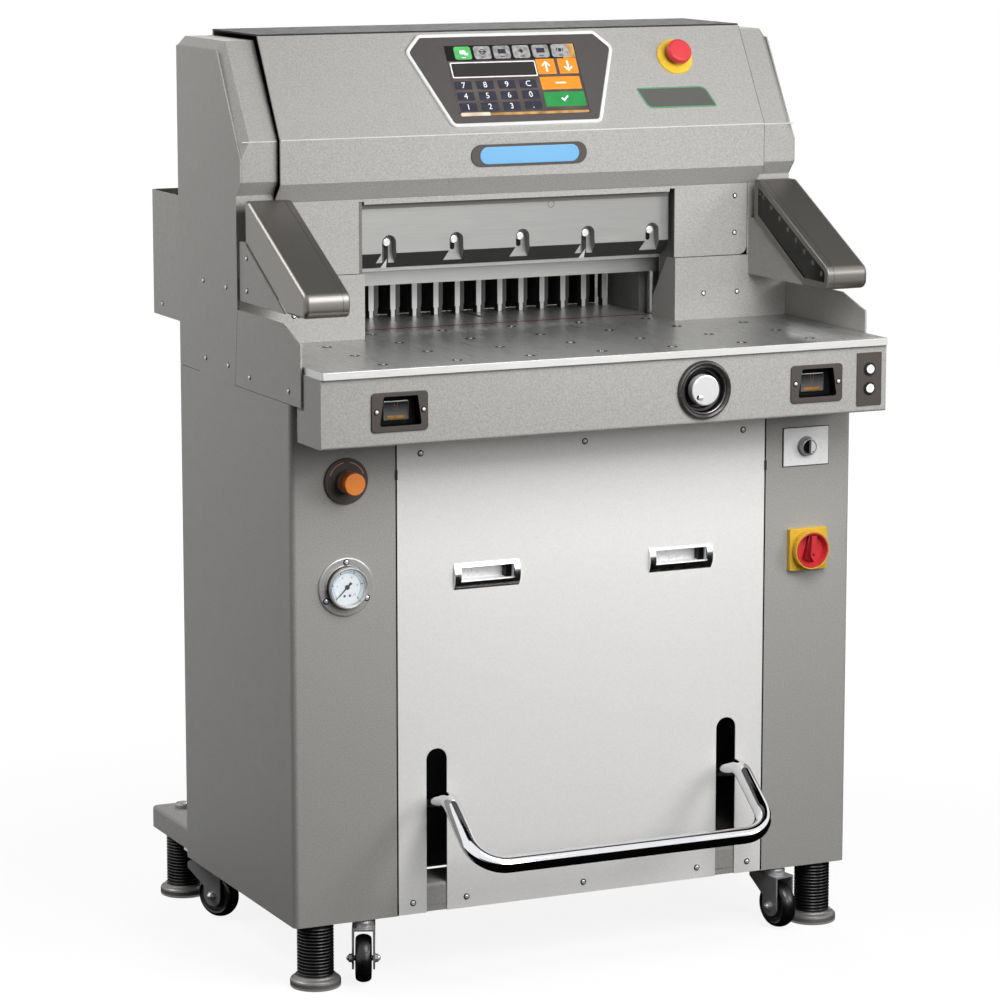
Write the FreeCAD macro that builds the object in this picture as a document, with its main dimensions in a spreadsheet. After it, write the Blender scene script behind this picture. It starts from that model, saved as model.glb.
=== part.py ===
"""Floor-standing hydraulic paper cutter, as a parametric document with one object per sub-part.

The machine is laid out from the cutting plane: X runs to the operator's right, Y to the back and
Z up from the floor. Each sub-part's Placement then moves it to the machine's frame, whose origin
is the middle of its footprint on the floor. All sizes are in millimetres.
"""

import FreeCAD
import Part
import math
import os
import Sketcher

SIZES = {
    # Overall cabinet: half width, front and rear faces, lower edge
    "machine_half": 464.3,
    "cabinet_front": -277.8,
    "cabinet_rear": 174.7,
    "cabinet_low": 97.4,
    "sheet": 2.0,
    "seam": 0.9,
    "clearance": 0.3,
    "running": 0.05,
    "bend": 8.5,
    # Base frame of folded channel rails
    "rail_low": 107.5,
    "rail_deep": 34.0,
    "rail_wide": 88.0,
    "rail_wall": 3.0,
    "rail_rear": 346.0,
    "rail_corner": 9.0,
    "rail_edge": 5.0,
    "cross_rail_wide": 80.0,
    "floor_plate": 3.0,
    "floor_plate_inset": 14.3,
    "floor_plate_front": -190.0,
    # Levelling feet
    "foot_inset": 43.3,
    "foot_front": -251.0,
    "foot_rear": 310.0,
    "pad_radius": 38.0,
    "pad_rim": 12.0,
    "pad_high": 18.0,
    "pad_top_radius": 30.0,
    "column_radius": 27.5,
    "column_neck": 20.0,
    "stud_radius": 8.0,
    "nut_radius": 13.0,
    "nut_high": 9.0,
    # Swivel casters
    "caster_across_front": 348.0,
    "caster_front": -262.0,
    "caster_inset": 39.3,
    "caster_rear": 160.0,
    "wheel_radius": 36.0,
    "wheel_wide": 24.0,
    "wheel_bevel": 6.0,
    "floor_gap": 2.0,
    "caster_trail": 9.0,
    "axle_radius": 4.0,
    "fork_wide": 34.0,
    "fork_wall": 2.6,
    "fork_half": 16.8,
    "fork_round": 16.0,
    "fork_back": 41.0,
    "fork_heel": 76.0,
    "fork_waist": 52.0,
    "race_low": 86.0,
    "race_radius": 16.5,
    "race_rim_high": 93.0,
    "race_shoulder": 12.5,
    "race_shoulder_high": 96.8,
    "kingpin_radius": 6.0,
    "caster_plate": 4.0,
    "caster_plate_half": 36.0,
    "turn_front_left": -24.0,
    "turn_front_right": 10.0,
    "turn_rear_left": 28.0,
    "turn_rear_right": -15.0,
    # Front panel with the pedal's slots and the pull handles
    "panel_middle": 8.0,
    "panel_half": 305.3,
    "panel_low": 98.0,
    "panel_high": 822.0,
    "panel_return": 13.0,
    "panel_return_gap": 4.5,
    "slot_inset": 18.8,
    "slot_wide": 33.5,
    "slot_high": 347.7,
    "handle_across": 161.5,
    "handle_wide": 107.0,
    "handle_high": 39.5,
    "handle_middle": 604.25,
    "handle_flange": 1.8,
    "handle_rim": 4.5,
    "handle_deep": 19.0,
    "handle_wall": 1.5,
    # Table casting
    "table_top": 936.9,
    "table_thick": 11.0,
    "table_inset": 4.3,
    "table_front": -391.9,
    "table_corner": 3.0,
    "rear_table_gap": 4.0,
    "stick_front": 17.0,
    "stick_wide": 10.0,
    "stick_deep": 6.0,
    "ball_margin": 29.0,
    "ball_row": 105.0,
    "ball_first_row": -344.0,
    "ball_radius": 7.0,
    "ball_deep": 8.0,
    "ball_proud": 0.4,
    "ball_sides": 8.0,
    # Cutting core: throat between the side covers, frame castings behind them
    "core_middle": 2.6,
    "throat_half": 262.0,
    "cover_sheet": 2.5,
    "head_front": -71.5,
    "casting_thick": 60.0,
    "casting_rear": 170.0,
    "casting_top": 1280.0,
    "casting_foot": 640.0,
    "casting_web": 20.8,
    "guide_front": -14.0,
    "guide_rear": 58.0,
    "guide_deep": 28.0,
    "yoke_front": 62.0,
    "yoke_low": 1180.0,
    "cylinder_plate_low": 600.0,
    "cylinder_plate": 25.0,
    # Throat covers and face plate
    "throat_cover_high": 1034.7,
    "flange_lip_rear": -43.8,
    "flange_knee_rear": 3.6,
    "flange_knee_high": 969.0,
    "flange_foot_rear": 8.0,
    "face_plate_inset": 74.3,
    "face_plate_low": 1036.0,
    "face_plate_high": 1147.7,
    "face_corner": 14.0,
    "window_margin_left": 6.5,
    "window_margin_right": 1.0,
    "window_high": 1139.0,
    "relief_wide": 9.0,
    "relief_high": 1143.5,
    # Knife group
    "carrier_play": 2.6,
    "carrier_front": -52.0,
    "carrier_edge": 1062.0,
    "carrier_bevel": 24.0,
    "carrier_top": 1275.0,
    "carrier_under": 1040.0,
    "knife_front": 10.0,
    "knife_thick": 12.0,
    "knife_reach": 21.0,
    "knife_top": 1120.0,
    "knife_edge": 1028.0,
    "lug_low": 1195.0,
    "bolt_margin": 39.6,
    "bolt_offset": 8.8,
    "bolt_high": 1078.0,
    "bolt_head_radius": 6.0,
    "bolt_head_high": 8.0,
    "bolt_radius": 4.0,
    "bolt_play": 0.3,
    "notch_radius": 11.5,
    "notch_deep": 16.0,
    "notch_mouth": 17.0,
    "notch_flare_high": 1066.0,
    "slit_half": 5.0,
    "slit_deep": 30.0,
    "rod_radius": 8.0,
    "rod_reach": 16.5,
    "rod_low": 500.0,
    "knife_rod_rear": -2.0,
    "clamp_rod_rear": 40.0,
    "cylinder_radius": 20.0,
    "cylinder_low": 340.0,
    "cylinder_floor": 400.0,
    "clamp_low": 1005.0,
    "clamp_high": 1200.0,
    # Back gauge
    "gauge_middle": 11.0,
    "gauge_front": 150.0,
    "gauge_fingers": 14.0,
    "gauge_margin": 21.5,
    "finger_wide": 9.0,
    "finger_tip": 6.5,
    "finger_tip_high": 12.0,
    "finger_deep": 15.0,
    "second_comb": 25.0,
    "gauge_beam_low": 1010.0,
    "gauge_beam_high": 1060.0,
    "gauge_depth": 57.0,
    "tongue_deep": 12.0,
    "tongue_half": 4.4,
    "gauge_slot_half": 5.0,
    "gauge_slot_front": 98.0,
    "gauge_slot_rear": 598.0,
    "screw_radius": 6.0,
    "screw_high": 914.0,
    "screw_lug": 10.0,
    "screw_lug_half": 14.0,
    "screw_lug_wall": 3.0,
    "gauge_nut_wall": 1.8,
    # Beam under the table's front edge with the operating parts
    "beam_inset": 3.6,
    "beam_front": -386.7,
    "beam_rear": -297.0,
    "beam_low": 825.5,
    "beam_wall": 3.0,
    "beam_edge": 4.0,
    "palm_across": 339.9,
    "palm_half": 44.0,
    "palm_low": 846.0,
    "palm_high": 903.0,
    "palm_corner": 5.0,
    "palm_flange": 2.5,
    "palm_rim": 3.0,
    "palm_deep": 32.0,
    "recess_top_half": 26.6,
    "recess_low_half": 33.0,
    "recess_high": 896.3,
    "recess_low": 854.2,
    "recess_deep": 28.0,
    "paddle_play": 0.8,
    "paddle_front": -379.0,
    "paddle_thick": 14.0,
    "dial_across": 149.8,
    "dial_high": 876.0,
    "dial_ring": 44.0,
    "dial_bowl": 38.0,
    "dial_bottom": 27.0,
    "dial_deep": 20.0,
    "dial_proud": 6.0,
    "dial_bevel": 2.4,
    "dial_wall": 2.5,
    "dial_shaft": 8.0,
    "knob_radius": 22.8,
    "knob_proud": 7.0,
    "knob_thick": 15.0,
    "knob_bevel": 1.6,
    "dimple_radius": 4.2,
    "dimple_reach": 13.5,
    "dimple_angle": 232.0,
    "button_inset": 33.8,
    "button_high": 891.2,
    "button_apart": 29.2,
    "button_radius": 8.7,
    "button_proud": 4.0,
    "button_long": 16.0,
    "button_bevel": 1.0,
    "button_plate_half": 21.2,
    "button_plate_low": 835.5,
    "button_plate_high": 916.2,
    "button_plate": 2.0,
    # Switches and air controls on the columns
    "selector_across": 384.3,
    "selector_high": 760.8,
    "selector_half": 40.2,
    "selector_half_high": 30.4,
    "plate_thick": 2.5,
    "selector_radius": 15.5,
    "selector_proud": 25.0,
    "selector_disc": 9.0,
    "selector_bar_half": 4.0,
    "selector_bar_round": 2.4,
    "isolator_across": 387.0,
    "isolator_high": 601.5,
    "isolator_half": 32.5,
    "isolator_radius": 26.0,
    "isolator_proud": 23.0,
    "isolator_disc": 11.0,
    "isolator_bar_half": 7.0,
    "isolator_bar_round": 4.9,
    "spindle_radius": 5.0,
    "spindle_long": 12.0,
    "regulator_across": -378.6,
    "regulator_high": 760.4,
    "regulator_radius": 34.0,
    "regulator_plate": 6.0,
    "regulator_body": 20.0,
    "regulator_long": 45.0,
    "regulator_knob": 17.0,
    "regulator_proud": 37.0,
    "gauge_across": -379.5,
    "gauge_high": 604.0,
    "gauge_flange": 43.5,
    "gauge_flange_thick": 3.0,
    "gauge_bezel": 30.5,
    "gauge_dial": 27.0,
    "gauge_proud": 15.0,
    "gauge_bowl": 10.0,
    "gauge_body": 28.0,
    "gauge_body_long": 30.0,
    "glass_thick": 2.0,
    "needle_long": 20.0,
    "needle_tail": 7.0,
    "needle_thick": 1.2,
    "needle_hub": 4.0,
    "arbor_radius": 2.0,
    # Head with the sloping console
    "console_inset": 60.3,
    "console_front": -98.9,
    "console_low": 1176.0,
    "slope_low": 1241.5,
    "slope_angle": 30.94,
    "console_top": 1392.0,
    "top_cover": 2.5,
    "top_flange": 14.0,
    "end_front": -89.5,
    "end_low": 1180.7,
    "end_slope_low": 1240.0,
    "end_top": 1382.7,
    "end_top_front": 3.7,
    "end_under": 1160.0,
    "end_chamfer": 12.5,
    "end_side_low": 1215.0,
    "end_side_top": 1369.3,
    "end_side_front": 4.0,
    "end_wall": 3.0,
    "lamp_half": 96.7,
    "lamp_high": 1207.8,
    "lamp_tall": 33.5,
    "lamp_lens_half": 82.7,
    "lamp_lens_tall": 26.0,
    "lamp_plate": 2.0,
    "lamp_proud": 3.5,
    "bezel_thick": 4.0,
    "bezel_top_half": 148.0,
    "bezel_top": 167.5,
    "bezel_wide_half": 175.0,
    "bezel_wide": 138.7,
    "bezel_low_half": 124.5,
    "bezel_low": 10.0,
    "bezel_corner": 5.0,
    "screen_half": 109.0,
    "screen_low": 27.5,
    "screen_high": 147.0,
    "screen_thick": 2.5,
    "stop_across": 277.7,
    "stop_up": 119.4,
    "stop_ring": 30.0,
    "stop_ring_thick": 3.0,
    "stop_neck": 9.3,
    "stop_stem": 9.0,
    "stop_stem_low": -12.0,
    "stop_button_low": 13.0,
    "stop_button_high": 25.0,
    "stop_button": 19.8,
    "stop_pin": 5.0,
    "stop_edge": 2.5,
    "stop_shoulder": 4.0,
    "stop_crown": 1.25,
    "stop_crown_in": 1.5,
    "stop_top_in": 5.0,
    "stop_roof": 2.5,
    # Light-curtain arms and their brackets
    "arm_wide": 69.6,
    "arm_inset": 4.3,
    "arm_back": -93.0,
    "arm_top": 1154.0,
    "arm_shoulder": -108.0,
    "arm_nose": -329.0,
    "arm_nose_high": 1038.0,
    "arm_nose_round": 15.0,
    "arm_low": 1005.0,
    "arm_heel": -253.0,
    "arm_back_low": 1093.0,
    "arm_edge": 3.0,
    "window_deep": 3.0,
    "window_rim": 9.0,
    "window_rim_low": 12.0,
    "window_rim_back": 6.0,
    "window_rim_nose": 3.0,
    "bracket_step": 3.1,
    "bracket_inset": 4.0,
    # Wing plates beside the table
    "wing_thick": 3.0,
    "wing_low": 877.6,
    "wing_front": -320.0,
    "wing_rear": -61.0,
    "wing_rear_top": -73.0,
    "wing_front_high": 970.0,
    "wing_knee": -305.0,
    "wing_knee_high": 974.0,
    "wing_top": 991.5,
    "wing_top_front": -248.0,
    "slit_high": 880.0,
    "slit_front": 90.0,
    # Rear guard around the rear table
    "guard_half": 350.0,
    "guard_rear": 618.0,
    "guard_low": 905.0,
    "guard_high": 1109.0,
    "guard_corner": 10.0,
    "rear_window_high": 1112.0,
    # Foot pedal, a bent tube with two arms
    "pedal_radius": 13.0,
    "pedal_pivot": 40.0,
    "pedal_pivot_high": 190.0,
    "pedal_knee": -326.0,
    "pedal_knee_high": 279.5,
    "pedal_bar": -430.0,
    "pedal_bar_high": 202.5,
    "pedal_knee_round": 34.0,
    "pedal_bar_round": 48.0,
    "pedal_boss": 16.0,
    "pedal_pin": 8.0,
    "pedal_pin_long": 38.0,
    "pedal_bearing": 22.0,
    "pedal_bearing_round": 19.8,
    # Hydraulic unit
    "tank_gap_left": 29.2,
    "tank_gap_right": 46.2,
    "tank_front": -120.0,
    "tank_rear": 150.0,
    "tank_high": 276.0,
    "motor_radius": 70.0,
    "motor_high": 170.0,
}

doc = FreeCAD.newDocument("paper_cutter")
sheet = doc.addObject("Spreadsheet::Sheet", "sizes")
for row, (alias, amount) in enumerate(SIZES.items(), start=1):
    sheet.set(f"A{row}", alias.replace("_", " "))
    sheet.set(f"B{row}", str(amount))
    sheet.setAlias(f"B{row}", alias)
doc.recompute()

nodes = []


class Formula:
    """A number together with the sheet expression that gives it."""

    def __init__(self, value, text):
        self.value = value
        self.text = text

    def __add__(self, other):
        other = formula(other)
        return Formula(self.value + other.value, f"({self.text} + {other.text})")

    def __sub__(self, other):
        other = formula(other)
        return Formula(self.value - other.value, f"({self.text} - {other.text})")

    def __mul__(self, other):
        other = formula(other)
        return Formula(self.value * other.value, f"({self.text} * {other.text})")

    def __truediv__(self, other):
        other = formula(other)
        return Formula(self.value / other.value, f"({self.text} / {other.text})")

    def __radd__(self, other):
        return formula(other) + self

    def __rsub__(self, other):
        return formula(other) - self

    def __rmul__(self, other):
        return formula(other) * self

    def __neg__(self):
        return formula(-1) * self


def formula(amount):
    """Return the amount as a Formula, whether it is one or a plain number."""
    if isinstance(amount, Formula):
        return amount
    return Formula(float(amount), f"({float(amount)})")


class Sheet:
    """Gives each named size as a Formula, such as size.table_top."""

    def __getattr__(self, alias):
        return Formula(SIZES[alias], "sizes." + alias)


size = Sheet()


def sine(angle):
    """Sine of a Formula in degrees."""
    return Formula(math.sin(math.radians(angle.value)), f"sin({angle.text} * 1 deg)")


def cosine(angle):
    """Cosine of a Formula in degrees."""
    return Formula(math.cos(math.radians(angle.value)), f"cos({angle.text} * 1 deg)")


# Sizes that follow the cabinet's width, the throat, the rails and the guard

foot_across = size.machine_half - size.foot_inset
caster_across_rear = size.machine_half - size.caster_inset
beam_half = size.machine_half - size.beam_inset
table_half = size.machine_half - size.table_inset
floor_plate_half = size.machine_half - size.floor_plate_inset
console_half = size.machine_half - size.console_inset
face_plate_half = size.machine_half - size.face_plate_inset
button_across = size.machine_half - size.button_inset
arm_outer = size.machine_half - size.arm_inset
arm_inner = arm_outer - size.arm_wide
bracket_outer = size.machine_half - size.bracket_inset
bracket_inner = arm_inner + size.bracket_step
carrier_half = size.throat_half - size.carrier_play
knife_half = size.throat_half + size.knife_reach
rod_across = size.throat_half + size.rod_reach
slot_across = size.throat_half - size.slot_inset
window_left = -(size.throat_half + size.window_margin_left)
window_right = size.throat_half + size.window_margin_right
gauge_pitch = (size.throat_half - size.gauge_margin) * 2 / (size.gauge_fingers - 1)
bolt_pitch = (size.throat_half - size.bolt_margin) / 2
bolt_first = bolt_pitch * -2
ball_pitch = (size.throat_half - size.ball_margin) / 2
rear_table_half = size.guard_half - size.sheet - size.clearance
rear_table_end = size.guard_rear - size.sheet - size.rear_table_gap
tank_left = size.panel_middle - slot_across + size.tank_gap_left
tank_right = size.panel_middle + slot_across - size.tank_gap_right
panel_return_low = size.rail_low + size.rail_deep + size.panel_return_gap


def bind(item, path, amount):
    """Tie a property to the sheet."""
    item.setExpression(path, formula(amount).text)


# Outlines


def pin_point(limits, item, end, corner):
    """Add the two distances from the sketch's origin that fix a point."""
    for kind, amount in zip(("DistanceX", "DistanceY"), corner):
        amount = formula(amount)
        limits.append((Sketcher.Constraint(kind, -1, 1, item, end, amount.value), amount.text))


def add_arc(sketch, centre, radius, entry, leave):
    """Add the short arc from entry to leave; return it with its ends in that order."""
    first = math.atan2(entry.y - centre.y, entry.x - centre.x)
    last = math.atan2(leave.y - centre.y, leave.x - centre.x)
    forward = (last - first) % (2 * math.pi) < math.pi
    if not forward:
        first, last = last, first
    ring = Part.Circle(centre, FreeCAD.Vector(0, 0, 1), radius)
    arc = sketch.addGeometry(Part.ArcOfCircle(ring, first, last), False)
    return (arc, 1, 2) if forward else (arc, 2, 1)


def settle(sketch, limits):
    """Add the constraints and tie each one that has a size to its expression."""
    first = sketch.ConstraintCount
    sketch.addConstraint([limit for limit, text in limits])
    for place, (limit, text) in enumerate(limits, start=first):
        if text:
            sketch.setExpression(f"Constraints[{place}]", text)


def polygon(*corners):
    """A closed loop of straight sides; a corner with a third value is rounded to it."""

    def add(sketch):
        points = [FreeCAD.Vector(formula(c[0]).value, formula(c[1]).value, 0) for c in corners]
        count = len(points)
        entries = list(points)
        leaves = list(points)
        centres = {}
        for index, corner in enumerate(corners):
            if len(corner) == 3:
                radius = formula(corner[2]).value
                back = (points[index - 1] - points[index]).normalize()
                ahead = (points[(index + 1) % count] - points[index]).normalize()
                half = back.getAngle(ahead) / 2
                entries[index] = points[index] + back * (radius / math.tan(half))
                leaves[index] = points[index] + ahead * (radius / math.tan(half))
                inward = (back + ahead).normalize()
                centres[index] = points[index] + inward * (radius / math.sin(half))
        sides = [
            sketch.addGeometry(Part.LineSegment(leaves[i], entries[(i + 1) % count]), False)
            for i in range(count)
        ]
        limits = []
        for index, corner in enumerate(corners):
            before = sides[index - 1]
            after = sides[index]
            if index not in centres:
                limits.append((Sketcher.Constraint("Coincident", before, 2, after, 1), ""))
                pin_point(limits, after, 1, corner)
                continue
            radius = formula(corner[2])
            arc, first, last = add_arc(
                sketch, centres[index], radius.value, entries[index], leaves[index]
            )
            mark = sketch.addGeometry(Part.Point(points[index]), True)
            limits.append((Sketcher.Constraint("Tangent", before, 2, arc, first), ""))
            limits.append((Sketcher.Constraint("Tangent", arc, last, after, 1), ""))
            limits.append((Sketcher.Constraint("Radius", arc, radius.value), radius.text))
            limits.append((Sketcher.Constraint("PointOnObject", mark, 1, before), ""))
            limits.append((Sketcher.Constraint("PointOnObject", mark, 1, after), ""))
            pin_point(limits, mark, 1, corner)
        settle(sketch, limits)

    return add


def rectangle(left, right, low, high, radius=None):
    """A rectangle between four sides, with all its corners rounded if a radius is given."""
    corners = [(left, low), (right, low), (right, high), (left, high)]
    if radius is not None:
        corners = [corner + (radius,) for corner in corners]
    return polygon(*corners)


def circle(across, up, radius):
    """A full circle."""

    def add(sketch):
        centre = FreeCAD.Vector(formula(across).value, formula(up).value, 0)
        wide = formula(radius)
        ring = Part.Circle(centre, FreeCAD.Vector(0, 0, 1), wide.value)
        item = sketch.addGeometry(ring, False)
        limits = [(Sketcher.Constraint("Radius", item, wide.value), wide.text)]
        pin_point(limits, item, 3, (across, up))
        settle(sketch, limits)

    return add


# Features


def new_body(name):
    """An empty body; it becomes a sub-part once finish() has named it."""
    return doc.addObject("PartDesign::Body", name)


def draw(body, plane, level, loops):
    """A sketch of closed loops on the body's own plane, moved along its normal to level."""
    sketch = body.newObject("Sketcher::SketchObject", body.Name + "_outline")
    role = plane + "_Plane"
    own_plane = next(item for item in body.Origin.OriginFeatures if item.Role == role)
    sketch.AttachmentSupport = [(own_plane, "")]
    sketch.MapMode = "FlatFace"
    bind(sketch, "AttachmentOffset.Base.z", level)
    for loop in loops:
        loop(sketch)
    return sketch


def pad(body, plane, low, high, *loops):
    """Material between two levels along the axis that the plane lacks."""
    low, high = formula(low), formula(high)
    if low.value > high.value:
        low, high = high, low
    feature_sketch = draw(body, plane, -high if plane == "XZ" else low, loops)
    feature = body.newObject("PartDesign::Pad", body.Name + "_pad")
    feature.Profile = feature_sketch
    bind(feature, "Length", high - low)
    return feature


def pocket(body, plane, low, high, *loops):
    """A cut between two levels along the axis that the plane lacks."""
    low, high = formula(low), formula(high)
    if low.value > high.value:
        low, high = high, low
    feature_sketch = draw(body, plane, -low if plane == "XZ" else high, loops)
    feature = body.newObject("PartDesign::Pocket", body.Name + "_pocket")
    feature.Profile = feature_sketch
    bind(feature, "Length", high - low)
    return feature


def turn(body, axis, *corners):
    """A round form about the body's own axis; corners are (radius, place along the axis)."""
    if axis == "X":
        corners = [(corner[1], corner[0]) + tuple(corner[2:]) for corner in corners]
    feature_sketch = draw(body, "XZ" if axis == "Z" else "XY", 0, [polygon(*corners)])
    feature = body.newObject("PartDesign::Revolution", body.Name + "_turned")
    feature.Profile = feature_sketch
    feature.ReferenceAxis = (feature_sketch, ["H_Axis" if axis == "X" else "V_Axis"])
    feature.Angle = 360
    return feature


def named_edges(shape, test):
    """Names of the edges that the test picks."""
    return [f"Edge{place}" for place, edge in enumerate(shape.Edges, start=1) if test(edge)]


def named_faces(shape, test):
    """Names of the faces whose middle and normal the test picks."""
    picked = []
    for place, face in enumerate(shape.Faces, start=1):
        if test(face.CenterOfMass, face.normalAt(0, 0)):
            picked.append(f"Face{place}")
    return picked


def soften(body, radius, test):
    """Round the picked edges."""
    doc.recompute()
    base = body.Tip
    feature = body.newObject("PartDesign::Fillet", body.Name + "_rounded")
    feature.Base = (base, named_edges(base.Shape, test))
    bind(feature, "Radius", radius)
    return feature


def bevel(body, width, test):
    """Chamfer the picked edges."""
    doc.recompute()
    base = body.Tip
    feature = body.newObject("PartDesign::Chamfer", body.Name + "_bevelled")
    feature.Base = (base, named_edges(base.Shape, test))
    bind(feature, "Size", width)
    return feature


def hollow(body, wall, test):
    """Shell the body inwards, open at the picked faces."""
    doc.recompute()
    base = body.Tip
    feature = body.newObject("PartDesign::Thickness", body.Name + "_shell")
    feature.Base = (base, named_faces(base.Shape, test))
    bind(feature, "Value", wall)
    feature.Reversed = True
    feature.Join = "Intersection"
    return feature


def place(item, across=0, back=0, up=0):
    """Put an item at a point of the layout."""
    bind(item, "Placement.Base.x", across)
    bind(item, "Placement.Base.y", back)
    bind(item, "Placement.Base.z", up)
    return item


footprint_middle = (size.guard_rear + size.pedal_bar - size.pedal_radius) / 2


def finish(item, label, across=0, back=0, up=0):
    """Name a sub-part and put it in the machine's frame."""
    item.Label = label
    place(item, across, back - footprint_middle, up)
    nodes.append(item)
    return item


def group(label, members):
    """One sub-part of several separate pieces that stay apart."""
    item = doc.addObject("Part::Compound", label)
    item.Links = members
    return finish(item, label)


# Base frame and floor plate


rail_front = size.cabinet_front + size.sheet + size.clearance
rail_outer = size.machine_half - size.sheet - size.clearance
rail_inner = rail_outer - size.rail_wide
rail_top = size.rail_low + size.rail_deep
floor_top = rail_top + size.floor_plate


def channel(name, front, rear, outline):
    """A folded rail, open below; its outline starts at the left front and goes by the right."""
    body = new_body(name)
    left, right = outline[0][0], outline[1][0]
    pad(body, "XY", size.rail_low, rail_top, polygon(*outline))
    soften(
        body,
        size.rail_edge,
        lambda edge: abs(edge.CenterOfMass.z - rail_top.value) < 0.01,
    )
    wall = size.rail_wall
    pocket(
        body,
        "XY",
        size.rail_low,
        rail_top - wall,
        rectangle(left + wall, right - wall, front + wall, rear - wall),
    )
    return body


def side_rail(side):
    """One long rail with the holes for its two foot studs."""
    near = side * rail_inner
    far = side * rail_outer
    rear = size.rail_rear
    if side > 0:
        outline = [(near, rail_front), (far, rail_front, size.bend), (far, rear, size.rail_corner)]
        outline.append((near, rear))
    else:
        outline = [(far, rail_front, size.bend), (near, rail_front), (near, rear)]
        outline.append((far, rear, size.rail_corner))
    body = channel(f"rail_{side + 1}", rail_front, rear, outline)
    for rear in (size.foot_front, size.foot_rear):
        hole = circle(side * foot_across, rear, size.stud_radius + size.clearance)
        pocket(body, "XY", rail_top - size.rail_wall, rail_top, hole)
    return body


def cross_rail(name, front):
    """A rail from one long rail to the other."""
    rear = front + size.cross_rail_wide
    outline = [(-rail_inner, front), (rail_inner, front), (rail_inner, rear), (-rail_inner, rear)]
    return channel(name, front, rear, outline)


def floor_plate():
    """The sheet that closes the frame and carries the inner parts."""
    body = new_body("floor_plate")
    half = floor_plate_half
    pad(
        body,
        "XY",
        rail_top,
        floor_top,
        rectangle(-half, half, size.floor_plate_front, size.casting_rear),
    )
    return body


def pedal_bearing(side):
    """A block on the floor plate, bored for one pedal pin."""
    body = new_body(f"pedal_bearing_{side + 1}")
    near = size.panel_middle + side * (slot_across + size.pedal_radius + size.clearance)
    far = size.panel_middle + side * (slot_across + size.pedal_pin_long)
    left, right = (near, far) if side > 0 else (far, near)
    half = size.pedal_bearing
    top = size.pedal_pivot_high + half
    pad(
        body,
        "YZ",
        left,
        right,
        polygon(
            (size.pedal_pivot - half, floor_top),
            (size.pedal_pivot + half, floor_top),
            (size.pedal_pivot + half, top, size.pedal_bearing_round),
            (size.pedal_pivot - half, top, size.pedal_bearing_round),
        ),
        circle(size.pedal_pivot, size.pedal_pivot_high, size.pedal_pin + size.running),
    )
    return body


def base_frame():
    """Four welded rails, the floor plate and the pedal's bearing blocks."""
    members = [side_rail(-1), side_rail(1)]
    members.append(cross_rail("front_cross_rail", rail_front))
    members.append(cross_rail("rear_cross_rail", size.rail_rear - size.cross_rail_wide))
    members.append(floor_plate())
    members.extend(pedal_bearing(side) for side in (-1, 1))
    return group("base_frame", members)


# Levelling feet and casters


def levelling_feet():
    """Four pads, each with its screwed column up into the rail and a dome nut above it."""
    members = []
    ceiling = rail_top - size.rail_wall
    for side in (-1, 1):
        for rear in (size.foot_front, size.foot_rear):
            tag = f"{side + 1}_{int(rear.value > 0)}"
            pad_body = new_body("foot_pad_" + tag)
            turn(
                pad_body,
                "Z",
                (0, 0),
                (size.pad_radius, 0),
                (size.pad_radius, size.pad_rim),
                (size.pad_top_radius, size.pad_high),
                (0, size.pad_high),
            )
            column = new_body("foot_column_" + tag)
            neck_low = size.cabinet_low if rear.value < 0 else size.rail_low
            turn(
                column,
                "Z",
                (0, size.pad_high),
                (size.column_radius, size.pad_high),
                (size.column_radius, neck_low - size.clearance),
                (size.column_neck, neck_low - size.clearance),
                (size.column_neck, ceiling),
                (size.stud_radius, ceiling),
                (size.stud_radius, rail_top),
                (size.nut_radius, rail_top),
                (size.nut_radius, rail_top + size.nut_high),
                (0, rail_top + size.nut_high),
            )
            for item in (pad_body, column):
                members.append(place(item, side * foot_across, rear))
    return group("levelling_feet", members)


def caster_race(name, side, across, rear, left, right, front, back):
    """A top plate under the rail with the race that the fork swivels in."""
    body = new_body(name)
    bore = size.kingpin_radius + size.running
    plate_low = size.rail_low - size.caster_plate
    turn(
        body,
        "Z",
        (bore, size.race_low),
        (size.race_radius, size.race_low),
        (size.race_radius, size.race_rim_high),
        (size.race_shoulder, size.race_shoulder_high),
        (size.race_shoulder, plate_low),
        (bore, plate_low),
    )
    pad(
        body,
        "XY",
        plate_low,
        size.rail_low,
        rectangle(left, right, front, back),
        circle(0, 0, bore),
    )
    return place(body, side * across, rear)


def caster_races():
    """Four races: the front ones under the front cross rail, the rear ones under the side rails."""
    members = []
    plate_half = rail_inner - size.caster_across_front
    for side in (-1, 1):
        members.append(
            caster_race(
                f"race_front_{side + 1}",
                side,
                size.caster_across_front,
                size.caster_front,
                -plate_half,
                plate_half,
                rail_front - size.caster_front,
                rail_front + size.cross_rail_wide - size.caster_front,
            )
        )
        near = side * (rail_inner - caster_across_rear)
        far = side * (rail_outer - caster_across_rear)
        left, right = (near, far) if side > 0 else (far, near)
        half = size.caster_plate_half
        members.append(
            caster_race(
                f"race_rear_{side + 1}",
                side,
                caster_across_rear,
                size.caster_rear,
                left,
                right,
                -half,
                half,
            )
        )
    return group("caster_races", members)


axle_high = size.floor_gap + size.wheel_radius


def turned_place(item, across, rear, angle):
    """Turn an item about its own vertical axis and put it in the machine's frame."""
    upright = FreeCAD.Vector(0, 0, 1)
    item.Placement = FreeCAD.Placement(
        FreeCAD.Vector(0, 0, 0), FreeCAD.Rotation(upright, angle.value)
    )
    bind(item, "Placement.Rotation.Angle", angle)
    place(item, across, rear - footprint_middle)


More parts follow.
